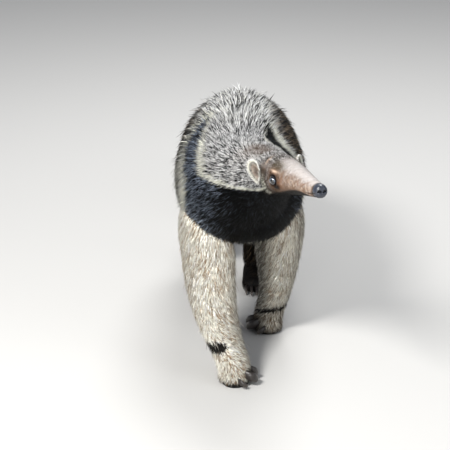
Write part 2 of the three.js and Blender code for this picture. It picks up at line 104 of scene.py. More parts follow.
tail = formOf([
    [0, 560, 420, 52, 60, 60], [0, 610, 414, 62, 66, 74], [0, 700, 384, 66, 74, 96],
    [0, 820, 326, 66, 84, 116], [0, 960, 262, 64, 88, 128], [0, 1110, 206, 60, 84, 120],
    [0, 1250, 168, 54, 72, 96], [0, 1370, 142, 42, 50, 64], [0, 1440, 124, 22, 26, 34],
    [0, 1500, 112, 8, 10, 14],
], (0, 0, 1))
rightForeleg = formOf([
    [-80, 20, 470, 46, 60, 64], [-86, 10, 420, 58, 70, 76], [-93, -20, 350, 68, 76, 80],
    [-84, -60, 282, 68, 70, 78], [-77, -112, 205, 61, 58, 68], [-58, -168, 136, 50, 48, 56],
    [-36, -207, 88, 42, 40, 44], [-19, -232, 48, 42, 44, 42], [-14, -240, 14, 43, 46, 44],
    [-13, -240, -16, 36, 38, 38],
], (0, -1, 0))
leftForeleg = formOf([
    [80, 20, 470, 46, 60, 64], [90, 22, 420, 58, 70, 76], [103, 26, 350, 64, 76, 80],
    [102, 36, 262, 60, 66, 74], [99, 56, 166, 46, 52, 60], [91, 78, 100, 39, 40, 44],
    [80, 92, 52, 38, 42, 42], [77, 92, 14, 40, 44, 42], [77, 92, -16, 34, 36, 36],
], (0, -1, 0))


# A hind foot is set stride further back than the plain stance, and inwards nearer to the middle; each
# station of the leg moves by its share of both, the foot as a whole.
def hindLeg(side, stride, inwards):
    rows = [
        (0, 66, 470, 440, 48, 70, 66), (0.05, 76, 478, 390, 60, 90, 86), (0.25, 92, 488, 310, 66, 96, 90),
        (0.5, 92, 500, 225, 56, 72, 68), (0.8, 90, 528, 140, 42, 46, 46), (1, 88, 543, 66, 34, 38, 36),
        (1, 88, 543, 36, 26, 30, 28),
    ]
    return formOf([
        [side * (out - inwards * share), back + stride * share, *others] for share, out, back, *others in rows
    ], (0, -1, 0))


# The foot's stations from the heel to the toes, all moved by the whole of both.
def hindFoot(side, stride, inwards):
    rows = [
        (88, 574, 26, 30, 26, 34), (88, 556, 26, 34, 30, 36), (89, 500, 26, 37, 30, 36),
        (91, 452, 20, 42, 22, 30), (92, 424, 16, 38, 14, 26),
    ]
    moved = [[side * (out - inwards), back + stride, *others] for out, back, *others in rows]
    return formOf(moved, (0, 0, 1))


sides = {"right": -1, "left": 1}
hindPoses = {"right": {"stride": 40, "inwards": 0}, "left": {"stride": -70, "inwards": 40}}
hindLegs = {word: hindLeg(side, **hindPoses[word]) for word, side in sides.items()}
hindFeet = {word: hindFoot(side, **hindPoses[word]) for word, side in sides.items()}
forelegs = {"right": rightForeleg, "left": leftForeleg}


# The skin of a form: its rings made smaller by shares above, at the sides and below, which come in
# from one station to another, and then by the depth of the short coat at each station.
def skinOf(form, above=0.0, side=0.0, below=0.0, fadeFrom=-1.0, fadeOver=1.0, coat=0.0):
    knots = form["knots"].copy()
    much = np.clip((np.arange(len(knots)) - fadeFrom) / fadeOver, 0, 1)
    for column, share in ((3, side), (4, above), (5, below)):
        knots[:, column] *= 1 - share * much
        knots[:, column] -= np.broadcast_to(np.array(coat, float) * mm, len(knots))
    form["skin"] = {**form, "knots": knots}
    return form


coatDepths = {
    "trunk": [0.3, 0.3, 0.5, 0.8, 1.2, 1.8, 2.6, 4, 7, 9, 5] + [0] * 10,
    "foreleg": 5, "hindleg": 3, "hindfoot": 2,
}
trunk["upTo"] = 17.9  # the skin's trunk ends in the tail's root
skinOf(trunk, 0.12, 0.09, 0.05, 9, 1.6, coatDepths["trunk"])
skinOf(tail, 0.45, 0.42, 0.48)
for word in sides:
    skinOf(forelegs[word], 0, 0.02, 0.18, coat=coatDepths["foreleg"])
    skinOf(hindLegs[word], 0.03, 0.08, 0.2, coat=coatDepths["hindleg"])
    skinOf(hindFeet[word], coat=coatDepths["hindfoot"])


# Catmull-Rom values along the stations, for an array of places.
def valuesAt(knots, place):
    last = len(knots) - 1
    first = np.clip(np.floor(place).astype(int), 0, last - 1)
    u = (place - first)[..., None]
    a, b, c, d = (knots[np.clip(first + step, 0, last)] for step in (-1, 0, 1, 2))
    return 0.5 * (2 * b + (c - a) * u + (2 * a - 5 * b + 4 * c - d) * u ** 2 + (3 * (b - c) + d - a) * u ** 3)


# Centre and axes of a form's ring at each place: along is the line's tangent, across is along
# times the reference, and over is across times along.
def axesAt(form, place):
    knots, last = form["knots"], form["last"]
    here = valuesAt(knots, place)
    ahead = valuesAt(knots, np.minimum(place + 0.02, last))
    behind = valuesAt(knots, np.maximum(place - 0.02, 0))
    along = unit(ahead[..., :3] - behind[..., :3])
    across = unit(np.cross(along, form["reference"]))
    return here, along, across, np.cross(across, along)


# A point of a ring: sideways is sin(angle) to the power 2/round times the half width, upward is
# cos(angle) to that power times the reach; angle 0 is the top, 90 is towards across.
def ringAt(form, place, angle, size=1.0, sizePlace=None):
    place, angle = np.broadcast_arrays(np.asarray(place, float), np.asarray(angle, float))
    here, _, across, over = axesAt(form, place)
    sizes = here if sizePlace is None else valuesAt(form["knots"], np.broadcast_to(sizePlace, place.shape))
    sine, cosine = np.sin(np.radians(angle)), np.cos(np.radians(angle))
    power = 2 / np.where(cosine > 0, sizes[..., 6], sizes[..., 7])
    reach = np.where(cosine > 0, sizes[..., 4], sizes[..., 5])
    sideways = np.sign(sine) * np.abs(sine) ** power * sizes[..., 3] * size
    upward = np.sign(cosine) * np.abs(cosine) ** power * reach * size
    return here[..., :3] + across * sideways[..., None] + over * upward[..., None]


# A point of a form with its outward normal and how far one station and one degree reach there.
def spotOn(form, place, angle):
    last = form["last"]
    at = ringAt(form, place, angle)
    low, high = np.maximum(place - 0.04, 0), np.minimum(place + 0.04, last)
    perPlace = (ringAt(form, high, angle) - ringAt(form, low, angle)) / (high - low)[..., None]
    perDegree = (ringAt(form, place, angle + 2) - ringAt(form, place, angle - 2)) / 4
    outward = unit(np.cross(perPlace, perDegree))
    outward *= np.sign(np.sum(outward * (at - axesAt(form, place)[0][..., :3]), -1, keepdims=True))
    return at, outward, np.linalg.norm(perPlace, axis=-1), np.linalg.norm(perDegree, axis=-1)


# How deep points lie in a form: under 1 is inside it. Each point is read in the ring nearest to it,
# as the sum of its shares of the half width and of the reach, each to the power of the roundness.
def depthIn(form, points):
    places = np.linspace(0, form.get("upTo", form["last"]), form["last"] * 12 + 1)
    here, along, across, over = axesAt(form, places)
    nearest = np.argmin(np.linalg.norm(points[:, None] - here[None, :, :3], axis=-1), axis=1)
    ring, away = here[nearest], points - here[nearest, :3]
    sideways = np.abs(np.sum(away * across[nearest], -1))
    upward, lengthways = np.sum(away * over[nearest], -1), np.abs(np.sum(away * along[nearest], -1))
    reach = np.where(upward > 0, ring[:, 4], ring[:, 5])
    power = np.where(upward > 0, ring[:, 6], ring[:, 7])
    beyond = np.where(lengthways > 0.03, 9, 0)  # past the form's end
    return (sideways / ring[:, 3]) ** power + (np.abs(upward) / reach) ** power + beyond


# A mesh from whole arrays. faces is an array of rows, or a list whose rows differ in length.
def meshOf(name, points, faces, smoothed=True):
    sizes = [len(face) for face in faces] if isinstance(faces, list) else [faces.shape[1]] * len(faces)
    mesh = bpy.data.meshes.new(name)
    mesh.vertices.add(len(points))
    mesh.vertices.foreach_set("co", np.asarray(points, np.float32).ravel())
    corners = np.concatenate([np.ravel(face) for face in faces]) if isinstance(faces, list) else faces.ravel()
    mesh.loops.add(len(corners))
    mesh.loops.foreach_set("vertex_index", corners.astype(np.int32))
    mesh.polygons.add(len(sizes))
    mesh.polygons.foreach_set("loop_start", np.concatenate([[0], np.cumsum(sizes)[:-1]]).astype(np.int32))
    mesh.update(calc_edges=True)
    mesh.shade_smooth() if smoothed else mesh.shade_flat()
    piece = bpy.data.objects.new(name, mesh)
    bpy.context.scene.collection.objects.link(piece)
    return piece


# Numbers, colours and points go to and from a mesh as whole arrays, one row for each vertex.
# Numbers are kept under a name.
def putNumbers(mesh, name, values):
    attribute = mesh.attributes.new(name, "FLOAT", "POINT")
    attribute.data.foreach_set("value", np.asarray(values, np.float32))


# Colours are kept under a name with a fourth value of 1.
def putColours(mesh, name, colours):
    shown = np.ones((len(colours), 4), np.float32)
    shown[:, :3] = colours
    mesh.attributes.new(name, "FLOAT_COLOR", "POINT").data.foreach_set("color", shown.ravel())


# The numbers kept under a name.
def readNumbers(mesh, name):
    values = np.zeros(len(mesh.vertices), np.float32)
    mesh.attributes[name].data.foreach_get("value", values)
    return values


# The vertices' places.
def pointsOf(mesh):
    points = np.zeros(len(mesh.vertices) * 3, np.float32)
    mesh.vertices.foreach_get("co", points)
    return points.reshape(-1, 3).astype(float)


# A closed surface from a grid of rings, with a point in the middle of each end ring.
def closedGrid(name, grid, numbers):
    rows, columns = grid.shape[:2]
    corner = np.arange(rows * columns).reshape(rows, columns)
    nextColumn = np.roll(corner, -1, axis=1)
    quads = np.stack([corner[:-1], nextColumn[:-1], nextColumn[1:], corner[1:]], -1).reshape(-1, 4)
    first, end = rows * columns, rows * columns + 1
    startFan = np.stack([np.full(columns, first), nextColumn[0], corner[0]], -1)
    endFan = np.stack([np.full(columns, end), corner[-1], nextColumn[-1]], -1)
    points = np.concatenate([grid.reshape(-1, 3), grid[:1].mean(1), grid[-1:].mean(1)])
    p = points[np.concatenate([quads[:, :3], quads[:, [0, 2, 3]], startFan, endFan])]
    if np.sum(np.cross(p[:, 0], p[:, 1]) * p[:, 2]) < 0:
        quads, startFan, endFan = quads[:, ::-1], startFan[:, ::-1], endFan[:, ::-1]
    piece = meshOf(name, points, [*quads, *startFan, *endFan])
    for key, values in numbers.items():
        values = np.broadcast_to(values, (rows, columns))
        putNumbers(piece.data, key, np.concatenate([values.ravel(), [values[0].mean(), values[-1].mean()]]))
    return piece


# Places and ring sizes of a form's rows, with a round dome over each end: there the place runs on
# with the cosine of the turn, and the ring of the last whole station shrinks with its sine.
def domedRows(form, perStation, domeRows=7):
    last = form["last"]
    turn = np.linspace(0.12, 1, domeRows)[:-1] * np.pi / 2
    middle = np.linspace(1, last - 1, int(perStation * last))
    place = np.concatenate([1 - np.cos(turn), middle, last - 1 + np.cos(turn[::-1])])
    size = np.concatenate([np.sin(turn), np.ones_like(middle), np.sin(turn[::-1])])
    return place, size, np.clip(place, 1, last - 1)


# Markings. Each line is read by the angle from the top of the back: the place where the black band
# starts, where it ends, and where the white behind it ends, for the right side and the left.
bandLines = {
    "right": {
        "angle": [24, 31, 39, 50, 57, 72, 83, 90, 96, 108, 120, 132, 150, 180],
        "start": [12.4, 11.5, 10.85, 10.47, 10.3, 10.11, 10.02, 9.75, 9.45, 8.87, 7.9, 7.2, 7.0, 7.0],
        "end": [12.1, 12.05, 11.9, 11.46, 11.07, 10.76, 10.6, 10.6, 10.62, 10.76, 10.94, 11.15, 11.13, 10.9],
        "white": [12.5, 12.7, 12.8, 12.75, 12.6, 12.3, 12.1, 11.9, 11.75, 11.57, 11.4, 11.45, 11.4, 10.9],
    },
    "left": {
        "angle": [16, 22, 27, 36, 50, 65, 90, 109, 120, 132, 150, 180],
        "start": [11.9, 11.15, 10.0, 9.3, 8.8, 8.5, 8.3, 8.1, 7.7, 7.2, 7.0, 7.0],
        "end": [11.7, 11.45, 11.2, 10.42, 10.15, 10.3, 10.85, 11.3, 11.3, 11.16, 11.13, 10.9],
        "white": [11.9, 11.7, 11.45, 11.0, 10.7, 10.8, 11.4, 11.7, 11.65, 11.5, 11.4, 10.9],
    },
}
innerWhite = 0.25  # stations of white in front of the black band
tones = {
    # The pale blue-grey on the next line is painted sheen: highlights on the tips of black hair.
    "black": (0.018, 0.019, 0.024), "paintedSheenBlue": (0.78, 0.84, 0.93), "ivory": (0.99, 0.985, 0.92),
    "hairWhite": (1.0, 0.995, 0.97), "greyLight": (0.985, 0.98, 0.97), "greyDark": (0.045, 0.045, 0.052),
    "rootDark": (0.035, 0.032, 0.032), "darkBrown": (0.09, 0.073, 0.062), "midBrown": (0.30, 0.24, 0.19),
    "paleBrown": (0.68, 0.60, 0.50), "cream": (1.0, 0.985, 0.93), "ochre": (0.56, 0.44, 0.30),
    "rust": (0.50, 0.34, 0.24), "snoutPink": (0.54, 0.485, 0.445), "snoutPale": (0.74, 0.72, 0.71),
    "snoutBrown": (0.39, 0.30, 0.235), "snoutGrey": (0.37, 0.345, 0.33), "eyeOrange": (0.52, 0.36, 0.24),
    # The pale skin tone on the next line also paints the highlight on the brow above each eye.
    "paleSkinAndBrowHighlight": (0.93, 0.82, 0.72), "cheekBrown": (0.26, 0.215, 0.175), "foreheadGold": (0.24, 0.20, 0.105),
    "earPink": (0.28, 0.275, 0.27), "napeBrown": (0.43, 0.34, 0.275),
}
toneOf = {name: np.array(value) ** 2.2 for name, value in tones.items()}


# Smooth noise from 0 to 1 at points: sines along random directions, each bent by the one before it.
def mottle(points, size, seed):
    draw = np.random.default_rng(seed)
    total, wave = 0, 0
    for _ in range(6):
        direction = unit(draw.normal(size=3)) * 2 * np.pi / (size * draw.uniform(0.7, 1.5))
        wave = np.sin(points @ direction + draw.uniform(0, 6) + 1.7 * wave)
        total = total + wave
    return np.clip(0.5 + total / 7, 0, 1)


# A colour moved towards a named tone: base plus share times the difference.
def mixed(base, tone, share):
    return base + (toneOf[tone] - base) * np.asarray(share)[..., None]


# A colour with named tones laid over it one after another, each by its own share.
def layered(base, *layers):
    for tone, share in layers:
        base = mixed(base, tone, share)
    return base


# The band's three lines at each angle, from the right side's table below 0 and the left's above.
def bandAt(angle):
    lines = {}
    for key in ("start", "end", "white"):
        right, left = (np.interp(np.abs(angle), bandLines[w]["angle"], bandLines[w][key]) for w in sides)
        lines[key] = np.where(angle < 0, right, left)
    return lines


# Trunk hair. Sizes of noise are in metres, places in stations, angles in degrees from the top.
trunkLook = {
    "patchSize": 0.05, "speckSize": 0.0105, "withersSpeckSize": 0.018, "raggedSize": 0.012,
    "withers": (10.7, 11.6), "paleAbove": 0.49, "nape": 0.62, "napeAngle": -12, "napeWide": 32,
    "softEdge": 0.05, "ragged": 0.10, "strawAbove": 0.84, "paintedSheenShare": 0.95,
}


# Root and tip colours of trunk hair. grain is a random number for each tuft, from 0 to 1. A tuft is
# pale where its grain and the specks together pass a line, and dark elsewhere; in the white behind
# the black band the line is low, so that dark tufts are only gaps in it. inside is 1 in the black
# band, edge in the white on both its sides, inner in the white before it.
def trunkTones(points, place, angle, grain):
    look, soft, size = trunkLook, trunkLook["softEdge"], np.shape(place) + (3,)
    lines, patches = bandAt(angle), mottle(points, look["patchSize"], 3)
    withers = smooth(*look["withers"], place) * (1 - smooth(14.5, 17, place) * 0.45)
    specks = (mottle(points, look["speckSize"], 7) * (1 - withers)
              + mottle(points, look["withersSpeckSize"], 10) * withers)
    pale = 0.4 * grain + 0.6 * specks > look["paleAbove"] - 0.04 * withers - 0.14 * (patches - 0.5)
    # The near-black roots are partly the hair's own dark base and partly painted shade deep in the coat.
    root = np.broadcast_to(toneOf["rootDark"], size)
    tip = np.where(pale[..., None], toneOf["greyLight"], toneOf["greyDark"])
    nape = smooth(7.1, 7.7, place) * (1 - smooth(8.5, 9.1, place))
    nape = nape * np.exp(-((angle - look["napeAngle"]) / look["napeWide"]) ** 2)
    tip = layered(tip, ("hairWhite", withers * pale), ("napeBrown", look["nape"] * nape))
    behind = smooth(-0.05, 0.3, place - lines["white"])
    behind = behind * np.where(angle < 0, smooth(30, 58, -angle), smooth(22, 42, angle))
    dark = np.where(grain[..., None] > look["strawAbove"], toneOf["paleBrown"], toneOf["darkBrown"])
    tip = tip + (dark - tip) * behind[..., None]
    tip = mixed(tip, "midBrown", smooth(14.5, 17.5, place) * np.where(grain > 0.5, 0.8, 0.3))
    ragged = look["ragged"] * (mottle(points, look["raggedSize"], 4) - 0.5) * 2
    inside = smooth(-soft, soft, place - lines["start"] + ragged)
    inside = inside * smooth(-soft, soft, lines["end"] - place + ragged)
    edge = smooth(-0.14, 0.06, place - lines["start"] + innerWhite + 1.4 * ragged)
    edge = edge * smooth(-soft, soft, lines["white"] - place) * smooth(20, 26, np.abs(angle))
    thin = smooth(0.15, 0.6, place - lines["end"])
    # Fewer tufts are pale on the animal's right, which the lamps light, and more on its left, which lies in
    # their shade. Over the hair's own speckle, this is painted shade and painted light.
    bright = 0.6 * grain + 0.4 * specks > np.where(angle < 0, 0.20 + 0.40 * thin, 0.07 + 0.08 * thin)
    inner = smooth(0.05, -0.05, place - lines["start"])
    root = layered(root, ("ivory", (0.05 + 0.45 * inner) * edge), ("black", inside))
    tip = layered(
        tip,
        ("greyDark", edge * (1 - bright) * (1 - inner) * 0.95),
        ("ivory", edge * np.maximum(bright, inner * np.where(grain > 0.25, 0.9, 0.2))),
        ("black", inside),
    )
    # Painted sheen: in the black band, tufts of high grain get pale blue-grey tips where the painted light is
    # high. That is towards both sides of the chest, and least in its middle, the shade under the head. Noise
    # breaks it into patches.
    x = points[..., 0]
    paintedLight = 0.12 + 0.88 * np.maximum(smooth(-0.01, -0.11, x), 0.6 * smooth(0.10, 0.15, x))
    paintedLight = paintedLight * (0.6 + 0.8 * mottle(points, look["patchSize"], 8))
    shine = inside * smooth(0.94 - 0.42 * paintedLight, 0.98, grain) * np.minimum(paintedLight, 1) * look["paintedSheenShare"]
    belly = smooth(-0.1, 0.25, place - lines["white"]) * smooth(118, 140, np.abs(angle))
    return mixed(root, "darkBrown", belly), layered(tip, ("paintedSheenBlue", shine), ("darkBrown", belly * 0.85))


# Face colours by place from the nose and by angle from the top, with the skin's patches over them.
faceLines = {
    "throatPlace": [1.2, 1.9, 2.5, 3.0, 3.6, 4.8, 6.6, 7.4],
    "throatAngle": [175, 140, 117, 111, 117, 139, 153, 150],
    "patchSize": 0.021, "spotSize": 0.0075, "veinSize": 0.013,
}


# A bump of height 1 on the surface: e to the minus sum of both distances from its middle, each
# divided by the bump's own reach and raised to a power; a higher power makes its top flatter.
def bumpOf(place, turned, atPlace, atAngle, wide, tall, power=2):
    return np.exp(-(np.abs(place - atPlace) / wide) ** power - (np.abs(turned - atAngle) / tall) ** power)


# Face colours, laid over one another from the snout's pink to the throat's black, which is partly painted
# shadow under the jaw. patches, spots and veins are noise of three sizes; folds and creases are waves that
# run across the cheek, painted shade in their troughs and painted light on their edges.
def faceTones(points, place, angle, grain):
    turned = np.abs(angle)
    patches, spots = mottle(points, faceLines["patchSize"], 5), mottle(points, faceLines["spotSize"], 6)
    bentPoints = points + 0.006 * (mottle(points, 0.03, 14) - 0.5)[..., None]
    veins = mottle(bentPoints, faceLines["veinSize"], 15)
    crown = smooth(4.6, 5.4, place) * smooth(66, 34, turned)
    tone = layered(
        np.broadcast_to(toneOf["snoutPink"], np.shape(place) + (3,)),
        # Paler towards the top of the snout: partly the skin's own pale colour, partly painted light falling
        # from above.
        ("snoutPale", smooth(88, 30, turned) * (1.0 - 0.45 * patches)),
        ("snoutBrown", smooth(0.42, 0.72, patches) * smooth(20, 70, turned) * 0.65),
        ("snoutGrey", smooth(0.55, 0.28, patches) * smooth(0.35, 0.65, spots) * 0.4),
        ("rust", smooth(0.5, 0.8, veins) * smooth(35, 75, turned) * 0.4),
        ("paleSkinAndBrowHighlight", smooth(0.42, 0.15, veins) * smooth(40, 80, turned) * 0.22),
        ("snoutGrey", smooth(1.9, 1.1, place) * smooth(40, 110, turned) * (0.4 + 0.6 * spots)),
        ("darkBrown", bumpOf(place, turned, 1.6, 118, 0.65, 11) * smooth(0.42, 0.56, spots) * 0.9),
        ("snoutBrown", smooth(0, 26, turned - 86) * smooth(1.8, 3.0, place) * 0.65),
        ("snoutBrown", bumpOf(place, turned, 3.35, 62, 0.55, 20) * smooth(0.3, 0.6, spots) * 0.6),
        ("snoutBrown", crown * 0.7),
    )
    streaked = 0.5 * grain[..., None] + 0.5 * spots[..., None] > 0.65
    streaks = np.where(streaked, toneOf["greyLight"], toneOf["greyDark"])
    tone = tone + (streaks - tone) * (crown * 0.8)[..., None]
    cheek = smooth(4.4, 5.4, place) * smooth(56, 80, turned)
    gold = bumpOf(place, turned, 4.95, 47, 0.66, 20, 3)
    bent = place + 0.10 * (patches - 0.5) + 0.03 * (spots - 0.5)
    # The folds behind the eye are only painted: dark brown shade in each fold and light grey light beside it.
    folds = np.cos((bent - 5.66) / 0.15 * np.pi) * bumpOf(place, turned, 5.76, 88, 0.27, 44)
    # The creases lie over the relief's folds behind the cheek: black in their troughs is painted shade, and
    # ivory on their ridges is painted light.
    paintedCreases = np.cos((bent - 0.0045 * (turned - 110) - 6.55) / 0.15 * np.pi)
    paintedCreases = paintedCreases * bumpOf(place, turned, 6.65, 122, 0.42, 34, 4)
    # Black under a line of angles by place: partly the black hair of the throat and lower jaw, partly painted
    # shadow under the jaw.
    throatAndJawShadow = turned - np.interp(place, faceLines["throatPlace"], faceLines["throatAngle"])
    throatAndJawShadow = throatAndJawShadow + 6 * (spots - 0.5)
    return layered(
        tone,
        ("cheekBrown", cheek * (0.65 + 0.35 * patches)),
        ("foreheadGold", gold * np.where(grain > 0.75, 0.4, 0.97)),
        ("eyeOrange", bumpOf(place, turned, 5.0, 90, 0.62, 28, 3) * (0.95 - 0.3 * spots)),
        ("rust", bumpOf(place, turned, 4.42, 96, 0.3, 14) * smooth(0.35, 0.6, spots) * 0.8),
        # Painted highlight: a thin pale arc above each eye, where light catches the brow.
        ("paleSkinAndBrowHighlight", bumpOf(place, turned, 4.95, 65, 0.42, 3.5) * 0.7),
        ("black", bumpOf(place, turned, 4.93, 93, 0.50, 24, 5) * 0.98),
        ("black", bumpOf(place, turned, 4.72, 114, 0.26, 11, 3) * 0.95),
        ("darkBrown", np.maximum(folds, 0) * 0.8),
        ("greyLight", np.maximum(-folds, 0) * 0.45),
        ("black", np.clip(1.4 * paintedCreases, 0, 0.95)),
        ("ivory", np.clip(-1.4 * paintedCreases, 0, 0.9)),
        ("paleSkinAndBrowHighlight", bumpOf(place, turned, 6.42, 38, 0.10, 16) * 0.85),
        ("darkBrown", bumpOf(place, turned, 6.58, 38, 0.09, 17) * 0.8),
        ("darkBrown", smooth(1.42, 1.14, place + 0.22 * (spots - 0.5)) * 0.85),
        ("black", smooth(-5, 7, throatAndJawShadow) * 0.98),
    )


# Face colours that give way to the trunk's hair behind the cheeks.
def headTones(points, place, angle, grain):
    root, tip = trunkTones(points, np.maximum(place, 7.3), angle, grain)
    face = faceTones(points, place, angle, grain)
    share = smooth(6.55, 7.25, place)[..., None]
    # The roots of face hair are its tone at eight tenths: painted shade deep in the coat.
    return face * 0.8 + (root - face * 0.8) * share, face + (tip - face) * share


# Legs. Heights in metres of the black band over each wrist, rising towards the animal's left, its
# half height, and where it lies round the leg; it is thicker towards the about side.
wristBands = {
    "right": {"height": 0.099, "slope": 0.34, "half": 0.0135, "middle": -0.045, "about": 62, "spread": 68},
    "left": {"height": 0.080, "slope": 0.36, "half": 0.008, "middle": 0.085, "about": -60, "spread": 150},
}


# Root and tip colours of a foreleg's hair: cream with ochre gaps, which are partly tan hair and partly
# painted shade between strands. It is darker behind, and black in the band, at the sole and on the outer
# toes. Painted shade darkens each leg's inner side, and the left leg's outer side is painted grey shade. The
# band is where the height's distance from its sloping middle line, divided by its thickness there, is under
# 1.
def forelegTones(word, points, angle, grain):
    height, band = points[..., 2], wristBands[word]
    size = np.shape(height) + (3,)
    patches = mottle(points, 0.06, 12 + sides[word])
    inner = smooth(-4, 52, angle) if word == "left" else smooth(35, 95, -angle)
    strands = mottle(points * [1, 1, 0.45], 0.009, 20 + sides[word])
    gaps = smooth(0.56, 0.68, 0.45 * grain + 0.55 * strands + 0.12 * (patches - 0.5))
    tip = mixed(np.broadcast_to(toneOf["cream"], size), "ochre", gaps * 0.85)
    # Painted shade: on the left leg the inner side, in the shadow of the body, is dark brown and the outer
    # side grey; on the right leg the inner side is brown.
    if word == "left":
        tip = layered(
            tip,
            ("darkBrown", inner * np.where(grain > 0.2, 0.85, 0.3)),
            ("snoutGrey", smooth(22, 70, -angle) * np.where(grain > 0.35, 0.8, 0.1)),
            ("midBrown", smooth(0.115, 0.07, height) * np.where(grain > 0.45, 0.7, 0.2)),
        )
    else:
        tip = mixed(tip, "midBrown", inner * np.where(grain > 0.5, 0.6, 0.15))
    back = smooth(100, 150, np.abs(angle))
    middle = band["height"] + band["slope"] * (points[..., 0] + groundMiddle[0] * mm - band["middle"])
    across = np.abs((angle - band["about"] + 180) % 360 - 180) / band["spread"]
    thick = band["half"] * (0.8 + 0.5 * grain) * np.clip(1.25 - 0.8 * across ** 2, 0, 1)
    inBand = smooth(1.15, 0.85, np.abs(height - middle) / np.maximum(thick, 1e-5)) * (across < 1)
    sole = smooth(0.024, 0.012, height + 0.008 * grain)
    toes = smooth(0.052, 0.036, height + 0.01 * grain) * smooth(30, 70, -angle if word == "right" else angle)
    dark = np.maximum.reduce([inBand, sole, toes])
    tip = layered(tip, ("midBrown", back * np.where(grain > 0.5, 0.8, 0.35)), ("black", dark * 0.97))
    # The roots are the tip at about a third of its brightness, with ochre except on the inner side and black
    # in the dark marks. This is painted shade deep in the coat, laid over the hair's own colours.
    return layered(tip * 0.36, ("ochre", 0.45 * (1 - inner) * (1 - dark)), ("black", dark * 0.9)), tip


# Dark brown hair with browner and paler tufts among it, blacker towards the foot.
def hindTones(points, grain):
    tip = layered(
        np.broadcast_to(toneOf["darkBrown"], np.shape(grain) + (3,)),
        ("midBrown", np.where(grain > 0.6, 0.7, 0.1)),
        ("paleBrown", np.where(grain > 0.88, 0.6, 0.0)),
        ("black", 0.8 * smooth(0.14, 0.03, points[..., 2])),
    )
    # The roots are the tip at about a third of its brightness, moved towards black: painted shade deep in the
    # coat.
    return mixed(tip * 0.35, "black", 0.4), tip


# Brown hair in darker and lighter patches with a few pale and grey tufts.
def tailTones(points, grain):
    patches = mottle(points, 0.09, 17)
    tip = layered(
        np.broadcast_to(toneOf["midBrown"], np.shape(grain) + (3,)),
        ("darkBrown", np.where(grain > 0.5 - 0.3 * (patches - 0.5), 0.9, 0.1)),
        ("paleBrown", np.where(grain < 0.16, 0.6, 0.0)),
        ("greyLight", np.where((grain > 0.16) & (grain < 0.20), 0.35, 0.0)),
    )
    # The roots are the tip at about a third of its brightness, moved towards the dark root tone: painted
    # shade deep in the coat.
    return mixed(tip * 0.35, "rootDark", 0.5), tip


# The head's folds, in millimetres off the smooth form: eye sockets, brows, cheeks, mouth and lips.
faceShape = {
    "eyePlace": 5, "eyeAngle": 92, "socketLong": 19, "socketTall": 16, "socketDeep": 10, "ahead": 4,
    "lidHigh": 2.6, "browHigh": 2.4, "furrowDeep": 1.1,
    "mouthDrop": 8, "mouthLong": 44, "mouthDeep": 2.6, "lipHigh": 1.1, "cheekHigh": 2.0, "foldHigh": 1.7,
}


# The point of the trunk at a place and angle with its normal and the axes along and over there.
def onHead(place, angle):
    at, outward, _, _ = spotOn(trunk, np.array([float(place)]), np.array([float(angle)]))
    _, along, _, over = axesAt(trunk, np.array([float(place)]))
    return at[0], outward[0], along[0], over[0]


# How far the head's skin stands off the smooth form. Each feature is its height times e to the minus
# square of the distance from it; e below is the share of the way from the eye to its socket's rim.
def faceRelief(points, place, angle):
    s, relief = faceShape, np.zeros(np.shape(place))
    for side in (-1, 1):
        at, outward, along, _ = onHead(s["eyePlace"], side * s["eyeAngle"])
        long = unit(along - outward * np.dot(along, outward))
        tall = np.cross(outward, long) * np.sign(np.cross(outward, long)[2])
        away = points - at
        x, y, deep = (np.sum(away * axis, -1) / mm for axis in (long, tall, outward))
        x = x + s["ahead"]
        near = np.exp(-(deep / 22) ** 4)
        e = np.sqrt((x / s["socketLong"]) ** 2 + (y / s["socketTall"]) ** 2)
        relief -= s["socketDeep"] * near * smooth(0.95, 0.55, e)
        relief += s["lidHigh"] * near * np.exp(-((e - 1.02) / 0.2) ** 2)
        relief -= s["furrowDeep"] * near * np.exp(-((e - 1.42) / 0.13) ** 2) * (0.6 + 0.4 * np.sign(y))
        relief += s["browHigh"] * near * np.exp(-((x - 1) / 16) ** 2 - ((y - 19) / 7) ** 2)
        relief += s["cheekHigh"] * near * np.exp(-((x - 24) / 20) ** 2 - ((y + 22) / 12) ** 2)
        relief -= 0.7 * near * np.exp(-((x + 22) / 10) ** 2 - ((y + 3 + 0.3 * x) / 3) ** 2)
    here, _, _, over = axesAt(trunk, place)
    drop = -np.sum((points - here[..., :3]) * over, -1) / mm
    back = np.linalg.norm(here[..., :3] - (noseTip - groundMiddle) * mm, axis=-1) / mm
    line = s["mouthDrop"] + 0.0012 * np.maximum(back - 18, 0) ** 2
    length = smooth(s["mouthLong"] + 14, s["mouthLong"] - 4, back)
    relief -= s["mouthDeep"] * np.exp(-((drop - line) / 1.5) ** 2) * length
    for step in (-4, 4):
        relief += s["lipHigh"] * np.exp(-((drop - line - step) / 2.4) ** 2) * length
    turned = np.abs(angle)
    folds = np.cos((place - 0.0045 * (turned - 110) - 6.71) / 0.16 * np.pi)
    relief += s["foldHigh"] * folds * bumpOf(place, turned, 6.65, 122, 0.4, 34, 4)
    relief -= 1.2 * bumpOf(place, turned, 6.5, 40, 0.07, 18) - 0.8 * bumpOf(place, turned, 6.36, 40, 0.09, 18)
    ripple = np.sin(back * 0.9 + 2.2 * np.sin(np.radians(angle) * 3)) * np.exp(-((back - 60) / 46) ** 2)
    relief += 0.16 * ripple * smooth(150, 60, turned)
    return relief * mm


# Numbers from low to high, set closer where a sum of bumps (centre, width, extra share) is high:
# even steps of the running sum of that density, read back on the line.
def evenly(low, high, fine):
    x = np.linspace(low, high, 4000)
    density = 1 + sum(extra * np.exp(-((x - centre) / width) ** 2) for centre, width, extra in fine["bumps"])
    total = np.concatenate([[0], np.cumsum((density[1:] + density[:-1]) / 2)])
    return np.interp(np.linspace(0, total[-1], fine["count"]), total, x)


